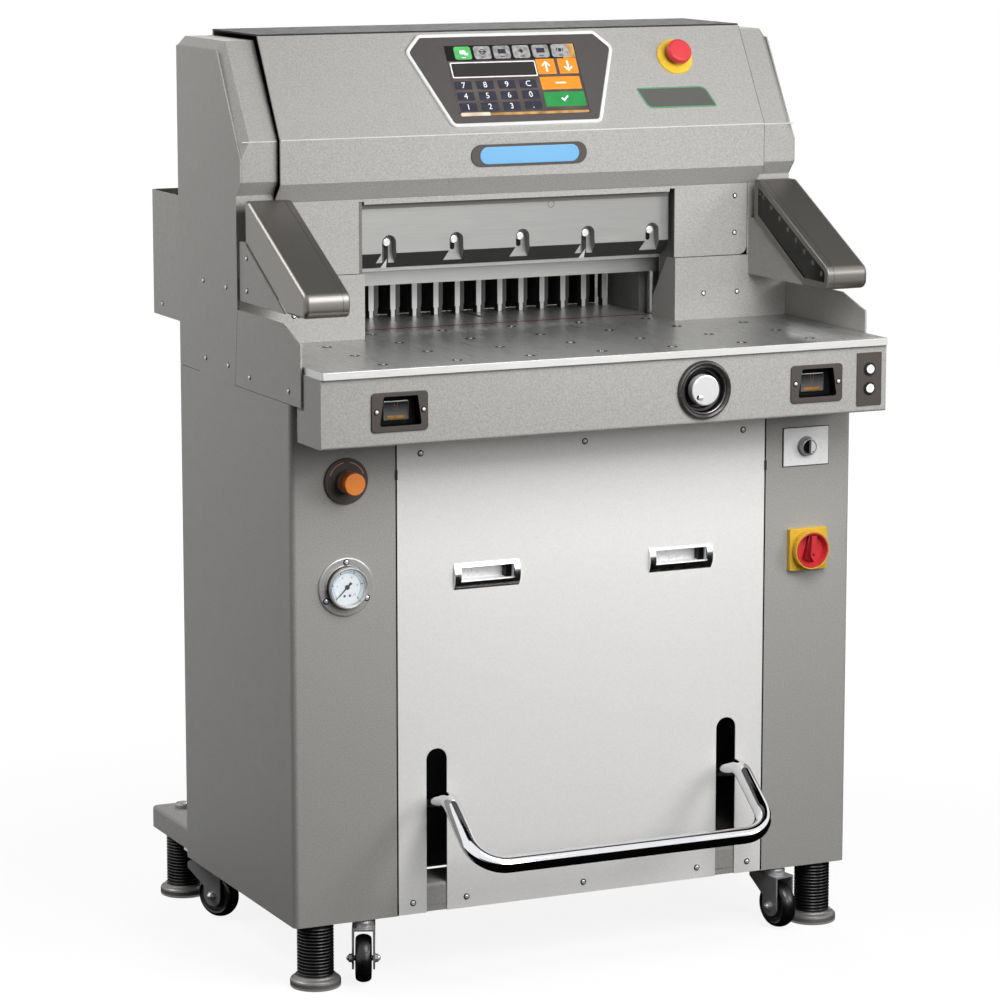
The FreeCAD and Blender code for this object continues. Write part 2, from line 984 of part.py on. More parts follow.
def caster(label, side, across, rear, angle):
    """A fork with its kingpin and axle, and the wheel between its legs."""
    fork = new_body("fork_" + label)
    crown_high = size.race_low - size.clearance
    crown_low = crown_high - size.fork_wall
    outer = size.fork_wide / 2
    front = -size.caster_trail - size.fork_half
    back = -size.caster_trail + size.fork_half
    low = axle_high - size.fork_half
    corner = size.fork_round
    for leg in (-1, 1):
        pad(
            fork,
            "YZ",
            leg * (outer - size.fork_wall),
            leg * outer,
            polygon(
                (front, crown_high),
                (front, low, corner),
                (back, low, corner),
                (back, size.fork_waist),
                (size.fork_back, size.fork_heel),
                (size.fork_back, crown_high),
            ),
        )
        if leg < 0:
            pad(
                fork,
                "XY",
                crown_low,
                crown_high,
                rectangle(-outer, outer, front, size.fork_back),
            )
            pin_top = size.rail_low - size.caster_plate / 2
            pad(fork, "XY", crown_low, pin_top, circle(0, 0, size.kingpin_radius))
    pad(fork, "YZ", -outer, outer, circle(-size.caster_trail, axle_high, size.axle_radius))
    fork.Label = "caster_fork_" + label
    turned_place(fork, side * across, rear, angle)
    nodes.append(fork)
    wheel = new_body("wheel_" + label)
    half = size.wheel_wide / 2
    turn(
        wheel,
        "X",
        (size.axle_radius + size.running, -half),
        (size.axle_radius + size.running, half),
        (size.wheel_radius - size.wheel_bevel, half),
        (size.wheel_radius, half - size.wheel_bevel),
        (size.wheel_radius, size.wheel_bevel - half),
        (size.wheel_radius - size.wheel_bevel, -half),
    )
    wheel.Label = "caster_wheel_" + label
    trail_across = size.caster_trail * sine(angle)
    trail_back = size.caster_trail * cosine(angle)
    turned_place(wheel, side * across + trail_across, rear - trail_back, angle)
    bind(wheel, "Placement.Base.z", axle_high)
    nodes.append(wheel)


def casters():
    """Four swivel casters, each left at its own angle."""
    front = (size.caster_across_front, size.caster_front)
    rear = (caster_across_rear, size.caster_rear)
    caster("front_left", -1, *front, size.turn_front_left)
    caster("front_right", 1, *front, size.turn_front_right)
    caster("rear_left", -1, *rear, size.turn_rear_left)
    caster("rear_right", 1, *rear, size.turn_rear_right)


# Cabinet covers


def side_cover(side):
    """Column front, side and head side folded from one sheet."""
    body = new_body(f"side_cover_{side + 1}")
    outer = side * size.machine_half
    inner = side * (size.machine_half - size.sheet)
    panel_edge = side * (size.panel_half + size.seam) + size.panel_middle
    front = size.cabinet_front
    rear = size.cabinet_rear
    beside_wing = size.wing_low - size.seam
    column_top = size.table_top - size.table_thick - size.clearance
    pad(
        body,
        "XY",
        size.cabinet_low,
        beside_wing,
        polygon(
            (panel_edge, front),
            (outer, front, size.bend),
            (outer, rear),
            (inner, rear),
            (inner, front + size.sheet, size.bend - size.sheet),
            (panel_edge, front + size.sheet),
        ),
    )
    flat_end = side * (size.machine_half - size.bend)
    pad(
        body,
        "XZ",
        front,
        front + size.sheet,
        rectangle(*in_order(panel_edge, flat_end), beside_wing, column_top),
    )
    pad(
        body,
        "YZ",
        inner,
        outer,
        polygon(
            (rear, beside_wing),
            (rear, size.end_side_top),
            (size.end_side_front, size.end_side_top),
            (size.end_front, size.end_side_low),
            (size.end_front, size.end_low),
            (size.head_front, size.end_under),
            (size.head_front, size.wing_top + size.seam),
            (size.wing_rear_top + size.seam, size.wing_top + size.seam),
            (size.wing_rear + size.seam, beside_wing),
        ),
    )
    pad(
        body,
        "XZ",
        size.head_front,
        size.head_front + size.sheet,
        polygon(
            (side * (face_plate_half + size.seam), size.face_plate_low),
            (outer, size.face_plate_low),
            (outer, size.end_under),
            (side * (console_half + size.seam), size.end_under),
            (side * (console_half + size.seam), size.face_plate_high),
            (side * (face_plate_half + size.seam), size.face_plate_high),
        ),
    )
    half_slit = size.seam / 2
    pocket(
        body,
        "YZ",
        inner,
        outer,
        rectangle(size.slit_front, rear, size.slit_high - half_slit, size.slit_high + half_slit),
    )
    if side < 0:
        for across, high, radius in (
            (size.regulator_across, size.regulator_high, size.regulator_body),
            (size.gauge_across, size.gauge_high, size.gauge_body),
        ):
            hole = circle(across, high, radius + size.clearance)
            pocket(body, "XZ", front, front + size.sheet, hole)
    else:
        for across, high in (
            (size.selector_across, size.selector_high),
            (size.isolator_across, size.isolator_high),
        ):
            hole = circle(across, high, size.spindle_radius * 2)
            pocket(body, "XZ", front, front + size.sheet, hole)
    return body


def in_order(first, second):
    """Two levels, the smaller first."""
    return (first, second) if first.value < second.value else (second, first)


def slot_outline(side, low):
    """The pedal's slot: straight sides and a round top."""
    middle = size.panel_middle + side * slot_across
    half = size.slot_wide / 2
    return polygon(
        (middle - half, low),
        (middle + half, low),
        (middle + half, size.slot_high, half - size.clearance),
        (middle - half, size.slot_high, half - size.clearance),
    )


def handle_outline(side, rim):
    """A pull handle's long round outline, drawn in by rim."""
    middle = size.panel_middle + side * size.handle_across
    half = size.handle_wide / 2 - rim
    tall = size.handle_high / 2 - rim
    return rectangle(
        middle - half,
        middle + half,
        size.handle_middle - tall,
        size.handle_middle + tall,
        size.palm_corner,
    )


def front_panel():
    """The removable sheet with its returns, two pedal slots and two handle openings."""
    body = new_body("front_panel")
    left = size.panel_middle - size.panel_half
    right = size.panel_middle + size.panel_half
    front = size.cabinet_front
    back = front + size.sheet
    pad(body, "XZ", front, back, rectangle(left, right, size.panel_low, size.panel_high))
    ledge = panel_return_low
    pad(
        body,
        "XZ",
        back,
        back + size.panel_return,
        polygon(
            (left, ledge),
            (left + size.sheet, ledge),
            (left + size.sheet, size.panel_high - size.sheet),
            (right - size.sheet, size.panel_high - size.sheet),
            (right - size.sheet, ledge),
            (right, ledge),
            (right, size.panel_high),
            (left, size.panel_high),
        ),
    )
    pocket(
        body,
        "XZ",
        front,
        back,
        *(slot_outline(side, size.panel_low - size.sheet) for side in (-1, 1)),
        *(handle_outline(side, size.handle_rim - size.clearance) for side in (-1, 1)),
    )
    return finish(body, "front_panel")


def pull_handles():
    """Two recessed cups with a flange on the panel's face."""
    members = []
    front = size.cabinet_front
    for side in (-1, 1):
        body = new_body(f"pull_handle_{side + 1}")
        pad(body, "XZ", front - size.handle_flange, front, handle_outline(side, 0))
        rim = size.handle_rim
        pad(body, "XZ", front, front + size.handle_deep, handle_outline(side, rim))
        pocket(
            body,
            "XZ",
            front - size.handle_flange,
            front + size.handle_deep - size.handle_wall,
            handle_outline(side, rim + size.handle_wall),
        )
        members.append(body)
    return group("pull_handles", members)


def rear_cover():
    """The back sheet, standing on the rails, with the window for the rear table."""
    body = new_body("rear_cover")
    half = rail_outer
    step = console_half + size.clearance
    end_top = size.end_top - size.clearance
    corner_top = size.end_side_top
    window = size.guard_half + size.clearance
    pad(
        body,
        "XZ",
        size.cabinet_rear - size.sheet,
        size.cabinet_rear,
        polygon(
            (-half, floor_top),
            (half, floor_top),
            (half, corner_top),
            (half - size.end_chamfer, end_top),
            (step, end_top),
            (step, size.console_top - size.top_cover),
            (-step, size.console_top - size.top_cover),
            (-step, end_top),
            (size.end_chamfer - half, end_top),
            (-half, corner_top),
        ),
        rectangle(-window, window, size.guard_low - size.clearance, size.rear_window_high),
    )
    return finish(body, "rear_cover")


def rear_guard():
    """A sheet fence around the rear table, open above."""
    body = new_body("rear_guard")
    half = size.guard_half
    front = size.cabinet_rear + size.clearance
    inner_rear = size.guard_rear - size.sheet
    inner = half - size.sheet
    inner_corner = size.guard_corner - size.sheet
    pad(
        body,
        "XY",
        size.guard_low,
        size.guard_high,
        polygon(
            (-half, front),
            (size.sheet - half, front),
            (size.sheet - half, inner_rear, inner_corner),
            (inner, inner_rear, inner_corner),
            (inner, front),
            (half, front),
            (half, size.guard_rear, size.guard_corner),
            (-half, size.guard_rear, size.guard_corner),
        ),
    )
    return finish(body, "rear_guard")


def wing_plates():
    """Two side plates screwed on between the table's edge and the head."""
    members = []
    for side in (-1, 1):
        body = new_body(f"wing_plate_{side + 1}")
        pad(
            body,
            "YZ",
            side * (size.machine_half - size.wing_thick),
            side * size.machine_half,
            polygon(
                (size.wing_rear, size.wing_low),
                (size.wing_front, size.wing_low),
                (size.wing_front, size.wing_front_high, size.beam_edge),
                (size.wing_knee, size.wing_knee_high),
                (size.wing_top_front, size.wing_top),
                (size.wing_rear_top, size.wing_top),
            ),
        )
        members.append(body)
    return group("wing_plates", members)


# Table


frame_inner = size.throat_half + size.cover_sheet + size.clearance
table_low = size.table_top - size.table_thick
neck_half = frame_inner - size.clearance
neck_front = size.head_front + size.cover_sheet - size.clearance


def table_plate():
    """One casting: front table, neck through the throat and rear table, with its grooves."""
    body = new_body("table_casting")
    core = size.core_middle
    half = table_half
    rear_half = rear_table_half
    neck_rear = size.casting_rear + size.clearance
    pad(
        body,
        "XY",
        table_low,
        size.table_top,
        polygon(
            (-half, size.table_front, size.table_corner),
            (half, size.table_front, size.table_corner),
            (half, neck_front),
            (core + neck_half, neck_front),
            (core + neck_half, neck_rear),
            (rear_half, neck_rear),
            (rear_half, rear_table_end, size.guard_corner),
            (-rear_half, rear_table_end, size.guard_corner),
            (-rear_half, neck_rear),
            (core - neck_half, neck_rear),
            (core - neck_half, neck_front),
            (-half, neck_front),
        ),
    )
    middle = size.gauge_middle
    lug_half = size.screw_lug_half
    lug_low = size.screw_high - size.screw_radius - size.screw_lug_wall
    for front in (size.gauge_slot_front - size.screw_lug, size.gauge_slot_rear):
        pad(
            body,
            "XZ",
            front,
            front + size.screw_lug,
            rectangle(middle - lug_half, middle + lug_half, lug_low, table_low),
            circle(middle, size.screw_high, size.screw_radius + size.running),
        )
    pocket(
        body,
        "XY",
        table_low,
        size.table_top,
        rectangle(
            middle - size.gauge_slot_half,
            middle + size.gauge_slot_half,
            size.gauge_slot_front,
            size.gauge_slot_rear,
        ),
    )
    pocket(
        body,
        "XY",
        size.table_top - size.stick_deep,
        size.table_top,
        rectangle(
            core - size.throat_half,
            core + size.throat_half,
            size.stick_front,
            size.stick_front + size.stick_wide,
        ),
    )
    holes = doc.addObject("Part::Compound", "ball_holes")
    holes.Links = ball_prisms("ball_hole", size.running, size.screw_lug)
    plate = doc.addObject("Part::Cut", "bored_table")
    plate.Base = body
    plate.Tool = holes
    return finish(plate, "table_plate")


def ball_places():
    """Centres of the table's round inserts: three rows of seven and a row of five."""
    places = []
    for row in range(4):
        reach = 3 if row < 3 else 2
        for column in range(-reach, reach + 1):
            across = size.core_middle + column * ball_pitch
            places.append((across, size.ball_first_row + row * size.ball_row))
    return places


def ball_prisms(name, play, proud):
    """A prism at each insert's place, wider by play, that stands proud of the table."""
    members = []
    for number, (across, back) in enumerate(ball_places()):
        item = doc.addObject("Part::Prism", f"{name}_{number}")
        bind(item, "Polygon", size.ball_sides)
        bind(item, "Circumradius", size.ball_radius + play)
        bind(item, "Height", size.ball_deep + proud)
        members.append(place(item, across, back, size.table_top - size.ball_deep))
    return members


def table_balls():
    """Small inserts that stand a little proud of the table."""
    return group("table_balls", ball_prisms("table_ball", 0, size.ball_proud))


def cutting_stick():
    """The strip that the knife edge comes down to."""
    item = doc.addObject("Part::Box", "cutting_stick")
    play = size.clearance
    bind(item, "Length", size.throat_half * 2 - play * 2)
    bind(item, "Width", size.stick_wide - play * 2)
    bind(item, "Height", size.stick_deep)
    return finish(
        item,
        "cutting_stick",
        size.core_middle - size.throat_half + play,
        size.stick_front + play,
        size.table_top - size.stick_deep,
    )


# Frame castings, throat covers and face plate


def frame_castings():
    """Two uprights with the guide grooves, the yoke above and the cylinders' plate below."""
    members = []
    core = size.core_middle
    front = neck_front + size.clearance * 2
    groove = frame_inner + size.guide_deep
    outer = frame_inner + size.casting_thick
    web = outer - size.casting_web
    for side in (-1, 1):
        body = new_body(f"upright_{side + 1}")
        pad(
            body,
            "XY",
            size.casting_foot,
            size.casting_top,
            polygon(
                (core + side * frame_inner, front),
                (core + side * outer, front),
                (core + side * outer, size.casting_rear),
                (core + side * frame_inner, size.casting_rear),
                (core + side * frame_inner, size.guide_rear),
                (core + side * groove, size.guide_rear),
                (core + side * groove, size.guide_front),
                (core + side * frame_inner, size.guide_front),
            ),
        )
        pad(
            body,
            "XY",
            floor_top,
            size.casting_foot,
            rectangle(
                *in_order(core + side * web, core + side * outer), front, size.casting_rear
            ),
        )
        members.append(body)
    yoke = new_body("yoke")
    pad(
        yoke,
        "YZ",
        core - frame_inner,
        core + frame_inner,
        rectangle(size.yoke_front, size.casting_rear, size.yoke_low, size.casting_top),
    )
    members.append(yoke)
    shelf = new_body("cylinder_shelf")
    holes = [
        circle(core + side * rod_across, rear, size.rod_radius + size.clearance)
        for side in (-1, 1)
        for rear in (size.knife_rod_rear, size.clamp_rod_rear)
    ]
    pad(
        shelf,
        "XY",
        size.cylinder_plate_low,
        size.cylinder_plate_low + size.cylinder_plate,
        rectangle(core - web, core + web, front, size.casting_rear),
        *holes,
    )
    members.append(shelf)
    return group("frame_castings", members)


def throat_covers():
    """Sheet covers beside the throat, each with its cranked inner flange."""
    members = []
    front = size.head_front
    back = front + size.cover_sheet
    top = size.throat_cover_high
    for side in (-1, 1):
        body = new_body(f"throat_cover_{side + 1}")
        near = size.core_middle + side * size.throat_half
        inside = near + side * size.cover_sheet
        far = side * (size.machine_half - size.wing_thick - size.clearance)
        pad(
            body,
            "XZ",
            front,
            back,
            rectangle(*in_order(near, far), size.table_top, top),
        )
        pad(
            body,
            "YZ",
            near,
            inside,
            polygon(
                (front, size.table_top),
                (size.flange_foot_rear, size.table_top),
                (size.flange_knee_rear, size.flange_knee_high),
                (size.flange_lip_rear, top),
                (front, top),
            ),
        )
        members.append(body)
    return group("throat_covers", members)


def face_plate():
    """The sheet above the throat, with relief slots in the window's upper corners."""
    body = new_body("face_plate")
    half = face_plate_half
    low = size.face_plate_low
    left = window_left
    right = window_right
    pad(
        body,
        "XZ",
        size.head_front,
        size.head_front + size.cover_sheet,
        polygon(
            (-half, low, size.face_corner),
            (left, low),
            (left, size.relief_high),
            (left + size.relief_wide, size.relief_high),
            (left + size.relief_wide, size.window_high),
            (right - size.relief_wide, size.window_high),
            (right - size.relief_wide, size.relief_high),
            (right, size.relief_high),
            (right, low),
            (half, low, size.face_corner),
            (half, size.face_plate_high),
            (-half, size.face_plate_high),
        ),
    )
    return finish(body, "face_plate")


# Knife group and clamp


bolt_middle = size.core_middle + size.bolt_offset
knife_rear = size.knife_front + size.knife_thick


def bolt_places():
    """Places across the knife of its five bolts."""
    return [bolt_middle + bolt_first + bolt_pitch * number for number in range(5)]


def knife_carrier():
    """The beam that carries the knife, with five open notches for its bolts."""
    body = new_body("knife_carrier")
    core = size.core_middle
    front = size.carrier_front
    low = size.carrier_edge - size.carrier_bevel
    pad(
        body,
        "YZ",
        core - carrier_half,
        core + carrier_half,
        polygon(
            (front, size.carrier_edge),
            (front + size.carrier_bevel, low),
            (size.knife_front, size.carrier_under),
            (size.knife_front, size.carrier_top),
            (front, size.carrier_top),
        ),
    )
    lug_half = frame_inner + size.guide_deep - size.clearance
    pad(
        body,
        "XY",
        size.lug_low,
        size.carrier_top,
        rectangle(
            core - lug_half,
            core + lug_half,
            size.guide_front + size.clearance,
            size.knife_front,
        ),
    )
    below = low - size.clearance
    radius = size.notch_radius
    floor = front + size.notch_deep
    for number, middle in enumerate(bolt_places()):
        pocket(
            body,
            "XZ",
            front,
            floor,
            polygon(
                (middle - size.notch_mouth, below),
                (middle + size.notch_mouth, below),
                (middle + radius, size.notch_flare_high),
                (middle + radius, size.bolt_high + radius, radius - size.clearance),
                (middle - radius, size.bolt_high + radius, radius - size.clearance),
                (middle - radius, size.notch_flare_high),
            ),
        )
        if number in (0, 3):
            pocket(
                body,
                "XZ",
                floor,
                front + size.slit_deep,
                rectangle(middle - size.slit_half, middle + size.slit_half, below, size.bolt_high),
            )
    play = size.bolt_radius + size.bolt_play
    holes = [circle(middle, size.bolt_high, play) for middle in bolt_places()]
    pocket(body, "XZ", floor, size.knife_front, *holes)
    return finish(body, "knife_carrier")


def knife_blade():
    """The knife: a flat bar with one long bevel, bored for its bolts."""
    body = new_body("knife_blade")
    core = size.core_middle
    front = size.knife_front
    pad(
        body,
        "YZ",
        core - knife_half,
        core + knife_half,
        polygon(
            (front, size.carrier_under),
            (knife_rear, size.knife_edge),
            (knife_rear, size.knife_top),
            (front, size.knife_top),
        ),
    )
    play = size.bolt_radius + size.bolt_play
    holes = [circle(middle, size.bolt_high, play) for middle in bolt_places()]
    pocket(body, "XZ", front, knife_rear, *holes)
    return finish(body, "knife_blade")


def knife_bolts():
    """Five bolts that hold the knife through the carrier."""
    members = []
    seat = size.carrier_front + size.notch_deep
    for number, middle in enumerate(bolt_places()):
        body = new_body(f"knife_bolt_{number}")
        turn(
            body,
            "Y",
            (0, seat - size.bolt_head_high),
            (size.bolt_head_radius, seat - size.bolt_head_high),
            (size.bolt_head_radius, seat),
            (size.bolt_radius, seat),
            (size.bolt_radius, knife_rear - size.clearance),
            (0, knife_rear - size.clearance),
        )
        members.append(place(body, middle, 0, size.bolt_high))
    return group("knife_bolts", members)


def pull_rods(label, rear, high):
    """Two rods from the cylinders up to the ends of a beam."""
    members = []
    for side in (-1, 1):
        item = doc.addObject("Part::Cylinder", f"{label}_{side + 1}")
        bind(item, "Radius", size.rod_radius)
        bind(item, "Height", high - size.rod_low)
        members.append(
            place(item, size.core_middle + side * rod_across, rear, size.rod_low)
        )
    return group(label, members)


def clamp_beam():
    """The pressing beam behind the knife."""
    body = new_body("clamp_beam")
    core = size.core_middle
    half = frame_inner + size.guide_deep - size.clearance
    pad(
        body,
        "YZ",
        core - half,
        core + half,
        rectangle(
            knife_rear + size.clearance,
            size.guide_rear - size.clearance,
            size.clamp_low,
            size.clamp_high,
        ),
    )
    return finish(body, "clamp_beam")


# Back gauge and its screw


def finger(middle, front_level):
    """One comb finger, drawn in at its foot."""
    wide = size.finger_wide / 2
    tip = size.finger_tip / 2
    low = size.table_top + size.clearance
    return polygon(
        (middle - tip, low),
        (middle + tip, low),
        (middle + tip, low + size.finger_tip_high),
        (middle + wide, low + size.finger_tip_high + wide - tip),
        (middle + wide, front_level),
        (middle - wide, front_level),
        (middle - wide, low + size.finger_tip_high + wide - tip),
        (middle - tip, low + size.finger_tip_high),
    )


def back_gauge():
    """Two staggered combs on one beam, with a tongue down to the screw."""
    body = new_body("back_gauge")
    middle = size.gauge_middle
    count = int(size.gauge_fingers.value)
    front = size.gauge_front
    half = gauge_pitch * (size.gauge_fingers - 1) / 2 + size.finger_wide / 2
    rear = front + size.gauge_depth
    pad(
        body,
        "YZ",
        middle - half,
        middle + half,
        rectangle(front, rear, size.gauge_beam_low, size.gauge_beam_high),
    )
    low = size.gauge_beam_low
    for row, fingers in ((0, count), (1, count - 1)):
        start = middle - half + size.finger_wide / 2 + gauge_pitch * row / 2
        level = front + size.second_comb * row
        loops = [finger(start + gauge_pitch * place_in_row, low) for place_in_row in range(fingers)]
        pad(body, "XZ", level, level + size.finger_deep, *loops)
    tongue_front = rear - size.tongue_deep
    nut_low = size.screw_high - size.screw_radius - size.gauge_nut_wall
    pad(
        body,
        "XZ",
        tongue_front,
        rear,
        rectangle(
            middle - size.tongue_half, middle + size.tongue_half, table_low - size.clearance, low
        ),
    )
    nut_half = size.screw_lug_half
    pad(
        body,
        "XZ",
        tongue_front,
        rear,
        rectangle(middle - nut_half, middle + nut_half, nut_low, table_low - size.clearance),
        circle(middle, size.screw_high, size.screw_radius + size.running),
    )
    return finish(body, "back_gauge")


def gauge_screw():
    """The screw under the rear table that moves the back gauge."""
    body = new_body("gauge_screw")
    front = size.gauge_slot_front - size.screw_lug
    rear = size.gauge_slot_rear + size.screw_lug
    turn(
        body,
        "Y",
        (0, front),
        (size.screw_radius, front),
        (size.screw_radius, rear),
        (0, rear),
    )
    return finish(body, "gauge_screw", size.gauge_middle, 0, size.screw_high)


# Hydraulics


def hydraulic_unit():
    """Four cylinders under their shelf, the oil tank and the pump motor on it."""
    members = []
    top = size.cylinder_plate_low
    bore = size.rod_radius + size.running
    for side in (-1, 1):
        for rear in (size.knife_rod_rear, size.clamp_rod_rear):
            body = new_body(f"cylinder_{side + 1}_{int(rear.value > 0)}")
            turn(
                body,
                "Z",
                (0, size.cylinder_low),
                (size.cylinder_radius, size.cylinder_low),
                (size.cylinder_radius, top),
                (bore, top),
                (bore, size.cylinder_floor),
                (0, size.cylinder_floor),
            )
            members.append(place(body, size.core_middle + side * rod_across, rear))
    tank = new_body("oil_tank")
    tank_top = floor_top + size.tank_high
    pad(
        tank,
        "XY",
        floor_top,
        tank_top,
        rectangle(tank_left, tank_right, size.tank_front, size.tank_rear),
    )
    members.append(tank)
    motor = new_body("pump_motor")
    turn(
        motor,
        "Z",
        (0, tank_top),
        (size.motor_radius, tank_top),
        (size.motor_radius, tank_top + size.motor_high),
        (0, tank_top + size.motor_high),
    )
    members.append(place(motor, size.core_middle, size.core_middle))
    return group("hydraulic_unit", members)


# Beam under the table's front edge


beam_top = table_low


def palm_outline(side, rim):
    """The palm switch's rounded outline, drawn in by rim."""
    middle = side * size.palm_across
    return rectangle(
        middle - size.palm_half + rim,
        middle + size.palm_half - rim,
        size.palm_low + rim,
        size.palm_high - rim,
        size.palm_corner,
    )


def front_beam():
    """A folded trough under the table, with openings for what is let into its face."""
    body = new_body("front_beam")
    half = beam_half
    front = size.beam_front
    rear = size.beam_rear
    wall = size.beam_wall
    pad(
        body,
        "YZ",
        -half,
        half,
        polygon(
            (front, size.beam_low, size.beam_edge),
            (rear, size.beam_low),
            (rear, beam_top),
            (front, beam_top),
        ),
    )
    pocket(
        body,
        "XY",
        size.beam_low + wall,
        beam_top,
        rectangle(wall - half, half - wall, front + wall, rear - wall),
    )
    play = size.clearance
    pocket(
        body,
        "XZ",
        front,
        front + wall,
        *(palm_outline(side, size.palm_rim - play) for side in (-1, 1)),
        circle(size.dial_across, size.dial_high, size.dial_bowl + size.dial_wall + play),
        *(circle(button_across, high, size.button_radius + play * 2) for high in button_levels()),
    )
    return finish(body, "front_beam")


def recess_outline(side, play):
    """The palm switch's trapezoid recess, wider below."""
    middle = side * size.palm_across
    return polygon(
        (middle - size.recess_low_half + play, size.recess_low + play),
        (middle + size.recess_low_half - play, size.recess_low + play),
        (middle + size.recess_top_half - play, size.recess_high - play),
        (middle - size.recess_top_half + play, size.recess_high - play),
    )


def palm_switches():
    """Two housings let into the beam, each with a spring-loaded paddle."""
    members = []
    front = size.beam_front
    for side in (-1, 1):
        body = new_body(f"palm_housing_{side + 1}")
        pad(body, "XZ", front - size.palm_flange, front, palm_outline(side, 0))
        pad(body, "XZ", front, front + size.palm_deep, palm_outline(side, size.palm_rim))
        pocket(
            body,
            "XZ",
            front - size.palm_flange,
            front + size.recess_deep,
            recess_outline(side, 0),
        )
        members.append(body)
    group("palm_switch_housings", members)
    for side, label in ((-1, "palm_paddle_left"), (1, "palm_paddle_right")):
        body = new_body(label)
        back = size.paddle_front + size.paddle_thick
        pad(body, "XZ", size.paddle_front, back, recess_outline(side, size.paddle_play))
        finish(body, label)


def handwheel():
    """A dished bezel and the chrome wheel that turns in it."""
    bezel = new_body("handwheel_bezel")
    wall = size.dial_wall
    deep = size.dial_deep
    turn(
        bezel,
        "Y",
        (size.dial_bowl + wall, 0),
        (size.dial_ring, 0),
        (size.dial_ring, size.dial_bevel - size.dial_proud),
        (size.dial_ring - size.dial_bevel, -size.dial_proud),
        (size.dial_bowl + size.dial_bevel, -size.dial_proud),
        (size.dial_bowl, size.dial_bevel - size.dial_proud),
        (size.dial_bottom, deep),
        (size.dial_shaft + size.running, deep),
        (size.dial_shaft + size.running, deep + wall),
        (size.dial_bottom, deep + wall),
    )
    finish(bezel, "handwheel_bezel", size.dial_across, size.beam_front, size.dial_high)
    wheel = new_body("handwheel")
    proud = size.knob_proud
    seat = size.knob_thick - proud
    turn(
        wheel,
        "Y",
        (0, -proud),
        (size.knob_radius - size.knob_bevel, -proud),
        (size.knob_radius, size.knob_bevel - proud),
        (size.knob_radius, seat),
        (size.dial_shaft, seat),
        (size.dial_shaft, deep + size.knob_thick),
        (0, deep + size.knob_thick),
    )
    pocket(
        wheel,
        "XZ",
        -proud,
        size.dimple_radius - proud,
        circle(
            size.dimple_reach * cosine(size.dimple_angle),
            size.dimple_reach * sine(size.dimple_angle),
            size.dimple_radius,
        ),
    )
    finish(wheel, "handwheel", size.dial_across, size.beam_front, size.dial_high)


def button_levels():
    """Heights of the upper and lower push button."""
    return (size.button_high, size.button_high - size.button_apart)


def push_buttons():
    """Two push buttons in their plate."""
    for label, high in zip(("push_button_upper", "push_button_lower"), button_levels()):
        body = new_body(label)
        front = -size.button_plate - size.button_proud
        turn(
            body,
            "Y",
            (0, front),
            (size.button_radius - size.button_bevel, front),
            (size.button_radius, front + size.button_bevel),
            (size.button_radius, front + size.button_long),
            (0, front + size.button_long),
        )
        finish(body, label, button_across, size.beam_front, high)


# Switches and air controls on the columns


def switch_plates():
    """Mounting plates: push buttons, selector, isolator and the ring around the stop button."""
    buttons = new_body("button_plate")
    pad(
        buttons,
        "XZ",
        size.beam_front - size.button_plate,
        size.beam_front,
        rectangle(
            button_across - size.button_plate_half,
            button_across + size.button_plate_half,
            size.button_plate_low,
            size.button_plate_high,
        ),
        *(
            circle(button_across, high, size.button_radius + size.clearance)
            for high in button_levels()
        ),
    )
    members = [buttons]
    front = size.cabinet_front
    for name, across, high, half, half_high in (
        (
            "selector_plate",
            size.selector_across,
            size.selector_high,
            size.selector_half,
            size.selector_half_high,
        ),
        (
            "isolator_plate",
            size.isolator_across,
            size.isolator_high,
            size.isolator_half,
            size.isolator_half,
        ),
    ):
        body = new_body(name)
        pad(
            body,
            "XZ",
            front - size.plate_thick,
            front,
            rectangle(
                across - half,
                across + half,
                high - half_high,
                high + half_high,
                size.plate_thick,
            ),
            circle(across, high, size.spindle_radius + size.running),
        )
        members.append(body)
    ring = new_body("stop_ring")
    turn(
        ring,
        "Z",
        (size.stop_neck, 0),
        (size.stop_ring, 0),
        (size.stop_ring, size.stop_ring_thick),
        (size.stop_neck, size.stop_ring_thick),
    )
    members.append(on_slope(ring, size.stop_across, size.stop_up))
    return group("switch_plates", members)


def rotary_knob(label, across, high, radius, disc, proud, bar_half, bar_round):
    """A round switch knob with a raised grip bar and its spindle."""
    body = new_body(label)
    seat = -size.plate_thick - size.clearance
    bar_long = radius - size.button_bevel
    turn(
        body,
        "Y",
        (0, seat - disc),
        (radius - size.button_bevel, seat - disc),
        (radius, seat - disc + size.button_bevel),
        (radius, seat),
        (size.spindle_radius, seat),
        (size.spindle_radius, size.spindle_long),
        (0, size.spindle_long),
    )
    pad(
        body,
        "XZ",
        -proud,
        seat - disc + size.clearance,
        rectangle(-bar_half, bar_half, -bar_long, bar_long, bar_round),
    )
    return finish(body, label, across, size.cabinet_front, high)


def column_switches():
    """Selector knob and isolator knob."""
    rotary_knob(
        "selector_knob",
        size.selector_across,
        size.selector_high,
        size.selector_radius,
        size.selector_disc,
        size.selector_proud,
        size.selector_bar_half,
        size.selector_bar_round,
    )
    rotary_knob(
        "isolator_knob",
        size.isolator_across,
        size.isolator_high,
        size.isolator_radius,
        size.isolator_disc,
        size.isolator_proud,
        size.isolator_bar_half,
        size.isolator_bar_round,
    )


